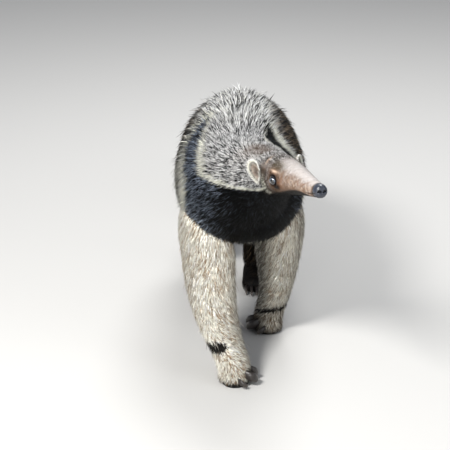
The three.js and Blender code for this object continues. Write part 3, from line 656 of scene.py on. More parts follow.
skinGrid = {
    "rows": {"count": 330, "bumps": [(5, 0.55, 9), (4, 4, 2.2), (1.2, 1.2, 1.5)]},
    "columns": {"count": 208, "bumps": [(-92, 16, 1.6), (92, 16, 1.6), (-122, 12, 0.6), (122, 12, 0.6)]},
    "tail": 84, "leg": 56, "foot": 40,
}
bodies = []  # closed shells that are joined to make the skin


# A closed shell of a form's skin, ring by ring. Its vertices keep which form, place and angle they
# come from.
def shellOf(name, index, form, columns, perStation):
    place, size, sizePlace = domedRows(form, perStation)
    angle = np.linspace(-180, 180, columns, endpoint=False)
    rows, turns = np.meshgrid(place, angle, indexing="ij")
    grid = ringAt(form["skin"], rows, turns, size[:, None], sizePlace[:, None])
    bodies.append(closedGrid(name, grid, {"formIndex": index, "place": rows, "angle": turns}))


# The trunk's shell has rings and columns set closer at the face. Its points move along the normal,
# which is the step to the next ring times the step round it, by the relief; that fades at the neck.
def trunkShell():
    form, turns = trunk["skin"], evenly(-180, 180, skinGrid["columns"])[:-1]
    rows, turns = np.meshgrid(evenly(0.7, trunk["upTo"], skinGrid["rows"]), turns, indexing="ij")
    grid = ringAt(form, rows, turns)
    onwards = ringAt(form, rows + 0.02, turns) - ringAt(form, np.maximum(rows - 0.02, 0), turns)
    outward = unit(np.cross(onwards, ringAt(form, rows, turns + 1) - ringAt(form, rows, turns - 1)))
    outward *= np.sign(np.sum(outward * (grid - axesAt(form, rows)[0][..., :3]), -1, keepdims=True))
    grid = grid + outward * (faceRelief(grid, rows, turns) * smooth(8.2, 7.4, rows))[..., None]
    bodies.append(closedGrid("trunkSkin", grid, {"formIndex": 1, "place": rows, "angle": turns}))


trunkShell()
shellOf("tailSkin", 2, tail, skinGrid["tail"], 9)
for number, word in enumerate(sides):
    shellOf("forelegSkin", 3 + number, forelegs[word], skinGrid["leg"], 8)
    shellOf("hindlegSkin", 5 + number, hindLegs[word], skinGrid["leg"], 8)
    shellOf("hindfootSkin", 7 + number, hindFeet[word], skinGrid["foot"], 8)

# Ears: a bent disc in two skins. turn runs from the middle of the cup (0) over the rim (a quarter
# turn) and down the back (half a turn), angle runs round it from the ear's top.
earShape = {
    "place": 7, "angle": 86, "tall": 27, "wide": 12.5, "deep": 9, "thick": 3.4, "stands": 9, "egg": 0.48,
    "up": 4, "rimHigh": 0.9, "rings": 34, "columns": 56,
}


# A point of the ear: up and sideways are cosine and sine of the angle times sine of the turn to the
# power 0.9, the depth is the cup's hollow, with the rim's bead and two ridges, or the back's bulge.
def earAt(side, turn, angle):
    s = earShape
    at, outward, along, over = onHead(s["place"], side * s["angle"])
    tall = unit(over + 0.35 * along + 0.18 * outward)
    facing = outward - 0.75 * along
    facing = unit(facing - tall * np.dot(facing, tall))
    out = np.sin(turn) ** 0.9
    up, sideways = np.cos(angle) * out, np.sin(angle) * out
    sideways = sideways * (1 + s["egg"] * up)
    rim = s["rimHigh"] * np.exp(-((turn - np.pi / 2) / 0.3) ** 2)
    depth = -s["deep"] * (1 - out ** 2) - np.where(turn > np.pi / 2, -s["thick"] * np.cos(turn), 0) + rim
    ridges = 0.9 * np.exp(-((sideways - 0.25) / 0.12) ** 2) + 0.7 * np.exp(-((sideways + 0.3) / 0.1) ** 2)
    depth = depth + np.where(turn < np.pi / 2, ridges * (1 - out), 0)
    middle = at + (outward * s["stands"] + tall * s["up"]) * mm
    across = np.cross(tall, facing) * (sideways * s["wide"])[..., None]
    return middle + (tall * (up * s["tall"])[..., None] + across + facing * depth[..., None]) * mm


# The ear's closed shell: rings of it from the cup's middle over the rim to the back's middle.
def earSkin(side, index):
    turns = np.linspace(0.03, 0.97, earShape["rings"]) * np.pi
    angles = np.linspace(0, 2 * np.pi, earShape["columns"], endpoint=False)
    turn, angle = np.meshgrid(turns, angles, indexing="ij")
    numbers = {"formIndex": index, "place": turn, "angle": np.degrees(angle)}
    bodies.append(closedGrid("earSkin", earAt(side, turn, angle), numbers))


for number, side in enumerate(sides.values()):
    earSkin(side, 9 + number)
print("skin shells made:", len(bodies))


# How the shells are joined, and how far the creases between them are rounded, in steps.
joining = {"spread": 5, "spreadShare": 0.8, "rounds": 14, "move": 0.55, "fill": 6, "aboveFloor": 0.004}


# Joins the shells, cuts them at the floor, and rounds the creases where they meet: a new vertex and
# those near it go a share of the way to the mean of their neighbours, again and again.
def joinedSkin():
    skin, others = bodies[0], bpy.data.collections.new("skinShells")
    bpy.context.scene.collection.children.link(others)
    for shell in bodies[1:]:
        bpy.context.scene.collection.objects.unlink(shell)
        others.objects.link(shell)
    corners = np.array([[x, y, z] for x in (-2, 2) for y in (-3, 3) for z in (-1, 0)], float)
    boxFaces = np.array([[0, 1, 3, 2], [4, 6, 7, 5], [0, 4, 5, 1], [2, 3, 7, 6], [0, 2, 6, 4], [1, 5, 7, 3]])
    below = meshOf("belowFloor", corners, boxFaces, False)
    union = skin.modifiers.new("join", "BOOLEAN")
    union.operation, union.operand_type = "UNION", "COLLECTION"
    union.collection, union.solver = others, "MANIFOLD"
    cut = skin.modifiers.new("floor", "BOOLEAN")
    cut.operation, cut.object, cut.solver = "DIFFERENCE", below, "MANIFOLD"
    bpy.context.view_layer.update()
    mesh = bpy.data.meshes.new_from_object(skin.evaluated_get(bpy.context.evaluated_depsgraph_get()))
    for piece in [below, *bodies]:
        bpy.data.objects.remove(piece)
    bpy.data.collections.remove(others)
    skin = bpy.data.objects.new("skin", mesh)
    bpy.context.scene.collection.objects.link(skin)
    ends = np.zeros(len(mesh.edges) * 2, np.int32)
    mesh.edges.foreach_get("vertices", ends)
    a, b = ends.reshape(-1, 2).T
    points, count = pointsOf(mesh), len(mesh.vertices)
    numbers = {key: readNumbers(mesh, key) for key in ("formIndex", "place", "angle")}
    near = (numbers["formIndex"] < 0.5).astype(float)
    for _ in range(joining["spread"]):  # vertices close to a crease
        spread = np.bincount(a, near[b], count) + np.bincount(b, near[a], count)
        near = np.maximum(near, joining["spreadShare"] * np.minimum(1, spread))
    near *= (points[:, 2] > joining["aboveFloor"]) & (np.abs(numbers["formIndex"] - 9.5) > 1)
    neighbours = np.maximum(np.bincount(a, minlength=count) + np.bincount(b, minlength=count), 1)
    for _ in range(joining["rounds"]):
        mean = np.stack([
            np.bincount(a, points[b, k], count) + np.bincount(b, points[a, k], count) for k in range(3)
        ], -1)
        points += (mean / neighbours[:, None] - points) * (joining["move"] * near)[:, None]
    for _ in range(joining["fill"]):  # numbers of the new vertices come from their neighbours
        blank = numbers["formIndex"] < 0.5
        for one, other in ((a, b), (b, a)):
            take = blank[one] & (numbers["formIndex"][other] > 0.5)
            for key in numbers:
                numbers[key][one[take]] = numbers[key][other[take]]
    mesh.vertices.foreach_set("co", points.astype(np.float32).ravel())
    for key in list(mesh.attributes.keys()):
        if key in numbers or key == "UVMap":
            mesh.attributes.remove(mesh.attributes[key])
    mesh.polygons.foreach_set("material_index", np.zeros(len(mesh.polygons), np.int32))
    mesh.shade_smooth()
    mesh.update()
    return skin, points, numbers


skin, skinPoints, skinNumbers = joinedSkin()
skin.data.calc_loop_triangles()
print("skin joined:", len(skin.data.vertices), "vertices,", len(skin.data.loop_triangles), "triangles")

skinTones = np.zeros((len(skinPoints), 3))
which = np.round(skinNumbers["formIndex"]).astype(int)
grain = np.random.default_rng(2).random(len(skinPoints))
# Under the hair the skin takes the roots' colours with their painted shade, on the head mostly behind the
# cheeks. Under the foreleg hair it is darker again by a fifth, as painted shade.
for index in range(1, 11):
    mine = which == index
    points, own = skinPoints[mine], grain[mine]
    place, angle = skinNumbers["place"][mine], skinNumbers["angle"][mine]
    if index == 1:
        root, tip = headTones(points, place, angle, own)
        share = 0.12 + 0.88 * smooth(7.3, 6.4, place)[:, None]
        tone = root * (1 - share) + tip * share
    elif index == 2:
        tone = tailTones(points, own)[0]
    elif index in (3, 4):
        tone = forelegTones(list(sides)[index - 3], points, angle, own)[0] * 0.8
    elif index in (5, 6, 7, 8):
        tone = hindTones(points, own)[0]
    else:  # ears: pink in the cup, pale at the rim
        inCup = smooth(1.42, 1.0, place) * (0.7 + 0.3 * mottle(points, 0.008, 9))
        tone = layered(
            np.broadcast_to(toneOf["ivory"] * 0.9, points.shape),
            ("earPink", inCup), ("rust", smooth(1.0, 0.5, place) * 0.3),
            # Dark brown at the cup's middle, its deepest part, is painted shade in the hollow.
            ("darkBrown", smooth(0.6, 0.1, place) * 0.6),
        )
    skinTones[mine] = tone
putColours(skin.data, "tone", skinTones)


# The coat. A tuft starts in the skin, walks over it in short steps along its own way, and rises
# from its root to the coat's outline; tufts near one another lean towards a shared leader. Both
# its ends are points, and its rows say how far along it the sections between them lie.
tuftKinds = {
    "short": {"rows": np.array([0, 0.42, 1]), "widths": np.array([0, 1, 0])},
    "long": {"rows": np.array([0, 0.3, 0.68, 1]), "widths": np.array([0, 1, 0.74, 0])},
}
patch = 0.003  # size of a tuft's own patch on the OFBake map
evenSteps = (0.7548776662466927, 0.5698402909980532)  # of an even two-way sequence

# What a coat has where it doesn't say otherwise: how far tufts lean together, how much they differ
# from one another, the share of single long hairs, and what the roots stay out of.
usualCoat = {
    "together": 0.45, "loose": {"long": 0.16, "way": 9, "stand": 0.35}, "singles": 0, "outOf": [],
    "margin": 0.97,
}

# Rules for every coat. Leaders stand one to a cell, with a spread in their places; they lead tufts
# whose roots are within so many cells, by a power of the share of the way to the tip. Spreads of
# shade and band differ from tuft to tuft; heights over the floor are in metres.
tuftRules = {
    "placeSpread": 0.5, "turnSpread": 0.3, "leaderSpread": 0.8, "leaderLonger": 1.02, "within": 1.6,
    "power": 1.4, "singleLonger": 1.35, "shadeSpread": 0.13, "bandSpread": 0.12, "rootAbove": 0.004,
    "lowest": 0.0012, "lowestSpread": 0.0008,
}


# Roots spread evenly over the skin: an even two-way sequence put through the running sums of the
# area times the wanted thickness of hair.
def evenRoots(coat, random):
    count = coat["count"]
    places, turns = np.linspace(coat["from"], coat["to"], 141), np.linspace(-180, 180, 121)
    rows, columns = np.meshgrid(places, turns, indexing="ij")
    grid = ringAt(coat["form"]["skin"], rows, columns)
    diagonals = grid[1:, :-1] - grid[:-1, :-1], grid[:-1, 1:] - grid[:-1, :-1]
    area = np.linalg.norm(np.cross(*diagonals), axis=-1)
    if "thick" in coat:
        area *= coat["thick"](rows[:-1, :-1], (columns[:-1, :-1] + 180) % 360 - 180)
    byRow = np.concatenate([[0], np.cumsum(area.sum(1))])
    byRow /= byRow[-1]
    index = np.arange(count)
    first = (0.5 + index * evenSteps[0]) % 1
    second = (0.5 + index * evenSteps[1] + 0.02 * random.random(count)) % 1
    row = np.clip(np.searchsorted(byRow, first, side="right") - 1, 0, len(area) - 1)
    inRow = (first - byRow[row]) / np.maximum(byRow[row + 1] - byRow[row], 1e-12)
    byColumn = np.cumsum(area, axis=1) / area.sum(1, keepdims=True)
    byColumn = np.concatenate([np.zeros((len(area), 1)), byColumn], axis=1)
    stacked = (byColumn + 2 * np.arange(len(area))[:, None]).ravel()
    spot = np.searchsorted(stacked, second + 2 * row, side="right") - 1 - row * byColumn.shape[1]
    spot = np.clip(spot, 0, area.shape[1] - 1)
    before, after = byColumn[row, spot], byColumn[row, spot + 1]
    inColumn = (second - before) / np.maximum(after - before, 1e-12)
    place = places[row] + inRow * (places[1] - places[0])
    angle = (turns[spot] + inColumn * (turns[1] - turns[0]) + 180) % 360 - 180
    return place, angle


# Points of each tuft's middle line, row by row, with the skin's normal there. The height over the
# skin grows with a power of the share of the way to the tip. way turns a tuft away from the top line
# of the form, swirl turns it round the form in one direction.
def walk(form, place, angle, hair, rows):
    last, line, normals, marks = form["last"], [], [], (place, angle)
    for number, u in enumerate(rows):
        if u < 0.7:  # the markings are read where the tuft shows
            marks = (place, (angle + 180) % 360 - 180)
        reached = np.minimum(place, last)  # a tuft that runs past the last station goes on straight
        at, outward, perPlace, perDegree = spotOn(form["skin"], reached, angle)
        at = at + axesAt(form, reached)[1] * ((place - reached) * perPlace)[:, None]
        depth = np.linalg.norm(ringAt(form, reached, angle) - ringAt(form["skin"], reached, angle), axis=-1)
        height = -hair["sunk"] + (hair["sunk"] + hair["lift"] * depth + hair["stand"]) * u ** hair["curve"]
        line.append(at + outward * height[:, None])
        normals.append(outward)
        if number + 1 < len(rows):
            step = hair["long"] * (rows[number + 1] - u)
            way, swirl = np.radians(hair["way"] + hair["bend"] * u), np.radians(hair["swirl"])
            turned = np.clip(np.sin(np.radians(angle)) * 4, -1, 1) * np.sin(way) + np.sin(swirl)
            place = np.maximum(place + np.cos(way) * np.cos(swirl) * step / np.maximum(perPlace, 1e-2), 0)
            angle = angle + turned * step / np.maximum(perDegree + np.radians(height), 1e-5)
    line, normals = np.array(line), np.array(normals)
    line[..., 2] -= (rows ** 2)[:, None] * hair["hang"] * hair["long"]
    return line, normals, marks


# A coat's tufts: their lines, normals, widths and colours, and where they lie on the map. A tuft is
# let go where its root is in another form, at the floor, or where the coat's own rule says so. A
# leader's cell is the whole number below place and angle divided by the cell's own steps.
def tuftsOf(coat):
    form, rows, rules = coat["form"], tuftKinds[coat["kind"]]["rows"], tuftRules
    random = np.random.default_rng(coat["seed"])
    place, angle = evenRoots(coat, random)
    hair = {"swirl": 0, **coat["hair"](place, angle)}
    count, loose = len(place), coat["loose"]

    def stray(much):
        return much * random.normal(size=count)

    longer = np.where(random.random(count) < coat["singles"], rules["singleLonger"], 1.0)
    hair = {key: np.broadcast_to(value, place.shape).astype(float) for key, value in hair.items()}
    hair["long"] = hair["long"] * np.clip(1 + stray(loose["long"]), 0.55, 1.5) * longer
    hair["swirl"] = hair["swirl"] + stray(loose["way"])
    hair["stand"] = hair["stand"] * (1 + stray(loose["stand"])) * longer ** 2
    cell = coat["clump"]
    atRoot, _, perPlace, perDegree = spotOn(form["skin"], place, angle)
    aside = (random.random(count) - 0.5) * rules["placeSpread"] * cell
    leaderPlace = place + aside / np.maximum(perPlace, 1e-3)
    turnStep = cell / np.maximum(perDegree, 1e-4)
    rowStep = cell / np.maximum(np.median(perPlace), 1e-3)
    leadRow = (np.floor(leaderPlace / rowStep) + 0.5) * rowStep
    ringStep = 360 / np.maximum(np.round(360 / np.median(turnStep)), 6)
    aside = rules["turnSpread"] * (random.random(count) - 0.5)
    leadTurn = (np.floor(angle / ringStep + aside) + 0.5) * ringStep
    salt = np.sin(leadRow * 91.7 + leadTurn * 37.3) * 43758.5453  # the same for all tufts of a cell
    leadRow = leadRow + (salt % 1 - 0.5) * rowStep * rules["leaderSpread"]
    leadRow = np.clip(leadRow, 0.02, form["last"] - 0.02)
    leadTurn = leadTurn + ((salt * 7.13) % 1 - 0.5) * ringStep * rules["leaderSpread"]
    line, normals, marks = walk(form, place, angle, hair, rows)
    leaderHair = {**hair, "long": hair["long"] * rules["leaderLonger"]}
    leader, _, _ = walk(form, leadRow, leadTurn, leaderHair, rows)
    share = coat["together"] * rows[:, None, None] ** rules["power"]
    apart = np.linalg.norm(leader[0] - line[0], axis=-1)
    share = share * (apart < rules["within"] * cell)[None, :, None]
    line = line + (leader - line) * share
    keep = np.ones(count, bool)
    for other in coat["outOf"]:
        keep &= depthIn(other["skin"], atRoot) > coat["margin"]
    keep &= line[0, :, 2] > rules["rootAbove"]
    if "only" in coat:
        keep &= coat["only"](place, angle)
    line[..., 2] = np.maximum(line[..., 2], rules["lowest"] + rules["lowestSpread"] * random.random(count))
    grain = random.random(count)
    root, tip = coat["tones"](line[1], *marks, grain)
    shade = 1 + rules["shadeSpread"] * random.normal(size=(count, 1))
    u = ((angle + 180) % 360) / 360
    v = (place - coat["from"]) / (coat["to"] - coat["from"])
    return {
        "line": line[:, keep], "normal": normals[:, keep], "wide": hair["wide"][keep],
        "root": (root * shade)[keep], "tip": np.clip(tip * shade, 0, 1)[keep],
        "map": np.stack([u, v], -1)[keep],
        "band": hair["band"][keep] + rules["bandSpread"] * random.normal(size=count)[keep],
    }


# One mesh for several coats. A tuft's section is a flat triangle, as wide as its row asks; its
# colour runs from the root's to the tip's past the band.
def coatPiece(name, kind, coats, more=()):
    rows, widths = tuftKinds[kind]["rows"], tuftKinds[kind]["widths"]
    made = [tuftsOf({**usualCoat, **coat, "kind": kind}) for coat in coats] + list(more)
    for number, tufts in enumerate(made):
        tufts["map"] = (tufts["map"] * 0.96 + 0.02 + np.array([number, 0])) / np.array([len(made), 1])
    joined = {
        key: np.concatenate([tufts[key] for tufts in made], axis=1 if key in ("line", "normal") else 0)
        for key in made[0]
    }
    line, count = joined["line"], joined["line"].shape[1]
    tangent = unit(np.gradient(line, axis=0))
    sideways = unit(np.cross(tangent, joined["normal"]))
    up = np.cross(sideways, tangent)
    half = widths[:, None, None] * joined["wide"][None, :, None] / 2
    ring = np.stack([line - sideways * half, line + sideways * half, line + up * half * 0.7], axis=2)
    body = ring[1:-1].transpose(1, 0, 2, 3).reshape(count, -1, 3)
    points = np.concatenate([body, line[0][:, None], line[-1][:, None]], axis=1)
    each = points.shape[1]
    root, tip, edges = each - 2, each - 1, ((0, 1), (1, 2), (2, 0))
    faces = [[b, a, root] for a, b in edges]
    for low in range(0, each - 5, 3):
        for a, b in edges:
            faces += [[low + a, low + b, low + 3 + b], [low + a, low + 3 + b, low + 3 + a]]
    faces = np.array(faces + [[each - 5 + a, each - 5 + b, tip] for a, b in edges])
    p = points[0][faces] - points[0].mean(0)
    if np.sum(np.cross(p[:, 0], p[:, 1]) * p[:, 2]) < 0:
        faces = faces[:, ::-1]
    triangles = (faces[None] + each * np.arange(count)[:, None, None]).reshape(-1, 3)
    piece = meshOf(name, points.reshape(-1, 3), triangles)
    along = np.concatenate([np.repeat(rows[1:-1], 3), [0, 1]])
    share = smooth(-0.18, 0.18, along[None] - joined["band"][:, None])[..., None]
    tone = joined["root"][:, None] * (1 - share) + joined["tip"][:, None] * share
    putColours(piece.data, "tone", np.clip(tone, 0, 1).reshape(-1, 3))
    across = np.concatenate([np.tile([0.0, 1.0, 0.5], len(rows) - 2), [0.5, 0.5]])
    onMap = joined["map"]
    corner = np.stack([onMap[:, :1] + patch * (across - 0.5), onMap[:, 1:] + patch * (along - 0.5)], -1)
    corner = corner.reshape(-1, 2)[triangles.ravel()]
    piece.data.uv_layers.new(name="OFBake")
    piece.data.uv_layers["OFBake"].data.foreach_set("uv", corner.astype(np.float32).ravel())
    piece.data.materials.append(coatMaterial)
    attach(piece, "root")
    print(name, count, "tufts,", len(triangles), "triangles")


# Materials. Every one is the usual surface shader with its constants set on the sockets.
def materialOf(name, **values):
    material = bpy.data.materials.new(name)
    material.use_nodes = True
    nodes = material.node_tree.nodes
    for key, value in values.items():
        nodes["Principled BSDF"].inputs[key].default_value = value
    return material, nodes, material.node_tree.links


# Noise on a vector that is stretched by a scale for each axis.
def noiseOn(nodes, links, vector, scale, detail, roughness=0.5):
    noise = nodes.new("ShaderNodeTexNoise")
    noise.inputs["Detail"].default_value, noise.inputs["Roughness"].default_value = detail, roughness
    stretch = nodes.new("ShaderNodeMapping")
    stretch.inputs["Scale"].default_value = scale
    noise.inputs["Scale"].default_value = 1.0
    links.new(vector, stretch.inputs["Vector"])
    links.new(stretch.outputs["Vector"], noise.inputs["Vector"])
    return noise.outputs["Fac"]


# Height in metres, as strength times distance, turned into the surface's normal.
def bumpOn(nodes, links, height, strength, distance):
    bump = nodes.new("ShaderNodeBump")
    bump.inputs["Strength"].default_value, bump.inputs["Distance"].default_value = strength, distance
    links.new(height, bump.inputs["Height"])
    links.new(bump.outputs["Normal"], nodes["Principled BSDF"].inputs["Normal"])


# The base colour: source times a grey that runs from low to high as factor runs from 0.3 to 0.7.
def shadedTone(nodes, links, source, factor, low, high):
    ramp = nodes.new("ShaderNodeMapRange")
    ramp.inputs["From Min"].default_value, ramp.inputs["From Max"].default_value = 0.3, 0.7
    ramp.inputs["To Min"].default_value, ramp.inputs["To Max"].default_value = low, high
    mix = nodes.new("ShaderNodeVectorMath")
    mix.operation = "SCALE"
    links.new(factor, ramp.inputs["Value"])
    links.new(source, mix.inputs[0])
    links.new(ramp.outputs["Result"], mix.inputs["Scale"])
    links.new(mix.outputs["Vector"], nodes["Principled BSDF"].inputs["Base Color"])


# A value that the vertices carry under a name.
def attributeOf(nodes, name, output="Color"):
    node = nodes.new("ShaderNodeAttribute")
    node.attribute_name = name
    return node.outputs[output]


# Looks of the surfaces: roughness and reflection, the scales of the noise for one metre or for the
# whole map, the greys that the tone is multiplied by, and strength and distance in metres of bumps.
coatLook = {
    "rough": 0.5, "shine": 0.09, "hairs": (1700, 260, 1), "greys": (0.78, 1.16), "bump": (0.5, 0.0006),
}
skinLook = {
    "rough": 0.6, "shine": 0.22, "pores": (900, 900, 900), "hairs": (260, 1500, 1), "greys": (0.72, 1.2),
    "bump": (0.7, 0.0009),
}
coatMaterial, nodes, links = materialOf("tuftedCoat", Roughness=coatLook["rough"])
nodes["Principled BSDF"].inputs["Specular IOR Level"].default_value = coatLook["shine"]
onMap = nodes.new("ShaderNodeUVMap")
onMap.uv_map = "OFBake"
hairs = noiseOn(nodes, links, onMap.outputs["UV"], coatLook["hairs"], 2.0)
shadedTone(nodes, links, attributeOf(nodes, "tone"), hairs, *coatLook["greys"])
bumpOn(nodes, links, hairs, *coatLook["bump"])

# The skin's grain is half the sum of its pores and of the flat hair along its lie.
skinMaterial, nodes, links = materialOf("shortHairAndSkin", Roughness=skinLook["rough"])
nodes["Principled BSDF"].inputs["Specular IOR Level"].default_value = skinLook["shine"]
place = nodes.new("ShaderNodeTexCoord").outputs["Object"]
pores = noiseOn(nodes, links, place, skinLook["pores"], 4.0, 0.6)
lie = attributeOf(nodes, "lie", "Vector")
flatHair = noiseOn(nodes, links, lie, skinLook["hairs"], 3.0, 0.6)
both = nodes.new("ShaderNodeMath")
both.operation = "ADD"
links.new(pores, both.inputs[0])
links.new(flatHair, both.inputs[1])
half = nodes.new("ShaderNodeMath")
half.operation = "MULTIPLY"
half.inputs[1].default_value = 0.5
links.new(both.outputs["Value"], half.inputs[0])
shadedTone(nodes, links, attributeOf(nodes, "tone"), half.outputs["Value"], *skinLook["greys"])
bumpOn(nodes, links, half.outputs["Value"], *skinLook["bump"])

# Distance along and around each form, for the flat hair's grain on the skin.
around = np.radians((skinNumbers["angle"] + 180) % 360) * 0.06
lieValues = np.stack([skinNumbers["place"] * 0.05, around, which * 1.0], -1)
lieAttribute = skin.data.attributes.new("lie", "FLOAT_VECTOR", "POINT")
lieAttribute.data.foreach_set("vector", lieValues.astype(np.float32).ravel())
skin.data.materials.clear()
skin.data.materials.append(skinMaterial)
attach(skin, "root")
fleshNodes = ["head", "neck", "torso", "tail"]
fleshNodes += [f"{part}_{word}" for word in sides for part in ("foreleg", "hindleg", "hindfoot", "ear")]
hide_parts(*fleshNodes)


# Hair over the trunk. Lengths in millimetres by place along the trunk's stations.
trunkCoat = {
    "place": [0, 2.5, 4.5, 6, 7, 8, 9, 10, 11, 12, 13.5, 15, 17, 18],
    "long": [3, 3.5, 4.5, 6, 9, 12, 16, 24, 44, 64, 88, 105, 120, 120],
    "wide": [0.5, 0.55, 0.7, 0.9, 1.3, 1.8, 2.2, 2.5, 2.7, 2.9, 3.0, 3.3, 3.5, 3.5],
    "stand": [0.2, 0.3, 0.4, 0.9, 2.2, 3.2, 4.2, 6, 10, 13, 13, 13, 11, 9],
    "way": 8, "wayOnFlank": 38, "bend": 24, "hang": 0.10, "chestLonger": 10,
}


# Hair lies back along the top and turns down with flank, which grows from 0 at the top line to 1 at
# the side; chest is 1 under the throat, where it hangs longer and straight.
def trunkHair(place, angle):
    s, flank = trunkCoat, np.minimum(np.abs(angle) / 85, 1)
    long, wide, stand = (np.interp(place, s["place"], s[key]) * mm for key in ("long", "wide", "stand"))
    body = smooth(10, 12, place)
    chest = smooth(90, 125, np.abs(angle)) * smooth(8.6, 9.8, place) * smooth(12.2, 11.2, place)
    long = long * (1 - 0.12 * flank * body) + s["chestLonger"] * mm * chest
    return {
        "long": long, "wide": wide, "stand": stand * (1 - 0.5 * flank * body),
        "way": (s["way"] + s["wayOnFlank"] * flank) * smooth(9, 11, place) * (1 - chest),
        "bend": s["bend"] * flank * body, "sunk": 0.003 + 0.03 * long, "lift": 1.0, "curve": 0.9,
        "hang": s["hang"] * flank * body, "band": 0.42 - 0.1 * body,
    }


# Fine hair on an ear's rim and back, pointing away from its middle.
earHair = {"count": 1600, "long": 5.5, "wide": 0.75, "rows": tuftKinds["short"]["rows"]}


# Roots by two random numbers, round the ear and over its rim; each line goes outward, bent by a
# random direction, and rises a little more towards the ear's back.
def earTufts(side, seed):
    s, random, count = earHair, np.random.default_rng(seed), earHair["count"]
    angle = random.random(count) * 2 * np.pi
    turn = np.pi * (0.47 + 0.36 * random.random(count) ** 1.6)
    at, inner = earAt(side, turn, angle), earAt(side, np.full(count, 0.03 * np.pi), angle)
    away = unit(at - inner)
    back, front = (earAt(side, np.full(1, share * np.pi), np.zeros(1)) for share in (0.95, 0.05))
    behind = unit(back - front)
    lean = (turn / np.pi - 0.47)[:, None] * 2.2
    way = unit(away + 0.35 * random.normal(size=away.shape) + np.array([0, 0.25, 0.1]))
    long = s["long"] * mm * (0.6 + 0.6 * random.random(count))[:, None]
    rise = unit(behind * lean + away * (1 - lean * 0.5))
    line = np.stack([at - rise * 0.6 * mm + (way * u * long + rise * 0.9 * mm * u) for u in s["rows"]])
    pale = layered(
        np.broadcast_to(toneOf["hairWhite"], line[0].shape),
        ("paleBrown", smooth(0.62, 0.75, turn / np.pi) * 0.7),
        ("midBrown", (random.random(count) > 0.72) * 0.75),
    )
    # The roots are the tufts' tone at six tenths: painted shade deep in the hair.
    return {
        "line": line, "normal": np.broadcast_to(rise, line.shape), "wide": np.full(count, s["wide"] * mm),
        "root": pale * 0.6, "tip": pale, "map": np.stack([angle / (2 * np.pi), turn / np.pi], -1),
        "band": np.full(count, 0.2),
    }


bareEye = {"place": 4.93, "angle": 92, "long": 0.44, "tall": 23}


# True where hair may grow: outside an ellipse round each eye, in stations and degrees.
def clearOfEyes(place, angle):
    tall = (np.abs(angle) - bareEye["angle"]) / bareEye["tall"]
    long = (place - bareEye["place"]) / bareEye["long"]
    return tall ** 2 + long ** 2 > 1


legsAndTail = [tail, *forelegs.values(), *hindLegs.values()]
coatPiece("coatHead", "short", [{
    "form": trunk, "from": 3.0, "to": 7.9, "count": 22600, "seed": 21, "clump": 0.006, "together": 0.25,
    "hair": trunkHair, "tones": headTones, "only": clearOfEyes,
    "thick": lambda place, angle: smooth(2.6, 5.5, place) + 0.3,
}], [earTufts(side, 71 + side) for side in sides.values()])
coatPiece("coatNeck", "short", [{
    "form": trunk, "from": 7.6, "to": 10.3, "count": 31600, "seed": 22, "clump": 0.008, "together": 0.25,
    "hair": trunkHair, "tones": trunkTones, "outOf": legsAndTail,
}])
for name, kind, count, low, high in [
    ("coatShoulders", "short", 31600, 10.1, 11.7), ("coatBack", "long", 16300, 11.6, 13.6),
    ("coatRump", "long", 15000, 13.5, 17.9),
]:
    coatPiece(name, kind, [{
        "form": trunk, "from": low, "to": high, "count": count, "seed": int(low * 10), "clump": 0.016,
        "hair": trunkHair, "tones": trunkTones, "outOf": legsAndTail, "singles": 0.04,
        "thick": lambda place, angle: 1.25 - 0.5 * smooth(60, 130, np.abs(angle)),
    }])

# Hair down the forelegs. swirl in degrees by place down the leg, towards the animal's right.
foreCoat = {
    "place": [0, 2, 4, 5, 6, 7.2, 8], "long": [46, 42, 34, 28, 21, 13, 9],
    "wide": [2.6, 2.6, 2.4, 2.2, 2.0, 1.6, 1.3],
    "right": [14, 22, 10, -22, -32, -16, 0], "left": [14, 20, 22, 22, 18, 10, 0],
    "stand": 1.4, "standBehind": 2.6, "longerBehind": 0.8,
}


# Lengths, widths and swirl by place; back is 1 behind the leg, where hair is longer and straight.
def foreHair(word, place, angle):
    s, back = foreCoat, smooth(70, 150, np.abs(angle))
    long, wide, swirl = (np.interp(place, s["place"], s[key]) for key in ("long", "wide", word))
    return {
        "long": long * mm * (1 + s["longerBehind"] * back * smooth(6.6, 5.4, place)), "wide": wide * mm,
        "stand": (s["stand"] + s["standBehind"] * back) * mm, "way": 8 * smooth(0.5, 3, place), "bend": 6,
        "swirl": swirl * (1 - back), "sunk": 0.003, "lift": 1.0, "curve": 0.85, "hang": 0.05, "band": 0.22,
    }


for word, count in (("right", 25000), ("left", 23000)):
    form = forelegs[word]
    coatPiece("coatForeleg" + word.capitalize(), "short", [{
        "form": form, "from": 0.6, "to": form["last"] - 1.02, "count": count, "seed": 31 + sides[word],
        "clump": 0.011, "together": 0.5, "outOf": [trunk], "margin": 0.9, "singles": 0.06,
        "loose": {"long": 0.2, "way": 13, "stand": 0.9},
        "hair": lambda place, angle, word=word: foreHair(word, place, angle),
        "tones": lambda points, place, angle, grain, word=word: forelegTones(word, points, angle, grain),
    }])

# Hair of hind legs, hind feet and tail. Lengths and widths in millimetres by place.
hindCoat = {
    "longPlace": [0, 2, 4, 5.2], "long": [76, 70, 40, 18], "widePlace": [0, 4, 6], "wide": [3.0, 2.2, 1.5],
    "stand": 3, "longerBehind": 0.35,
}
footCoat = {"long": 10, "wide": 1.2, "stand": 0.8}
tailCoat = {
    "place": [0, 1.5, 6, 7.5, 8.7], "long": [120, 180, 175, 80, 22], "wide": 3.6, "stand": 8,
    "way": 30, "bend": 24, "hang": 0.08, "hangUnder": 0.14, "longerUnder": 0.15,
}


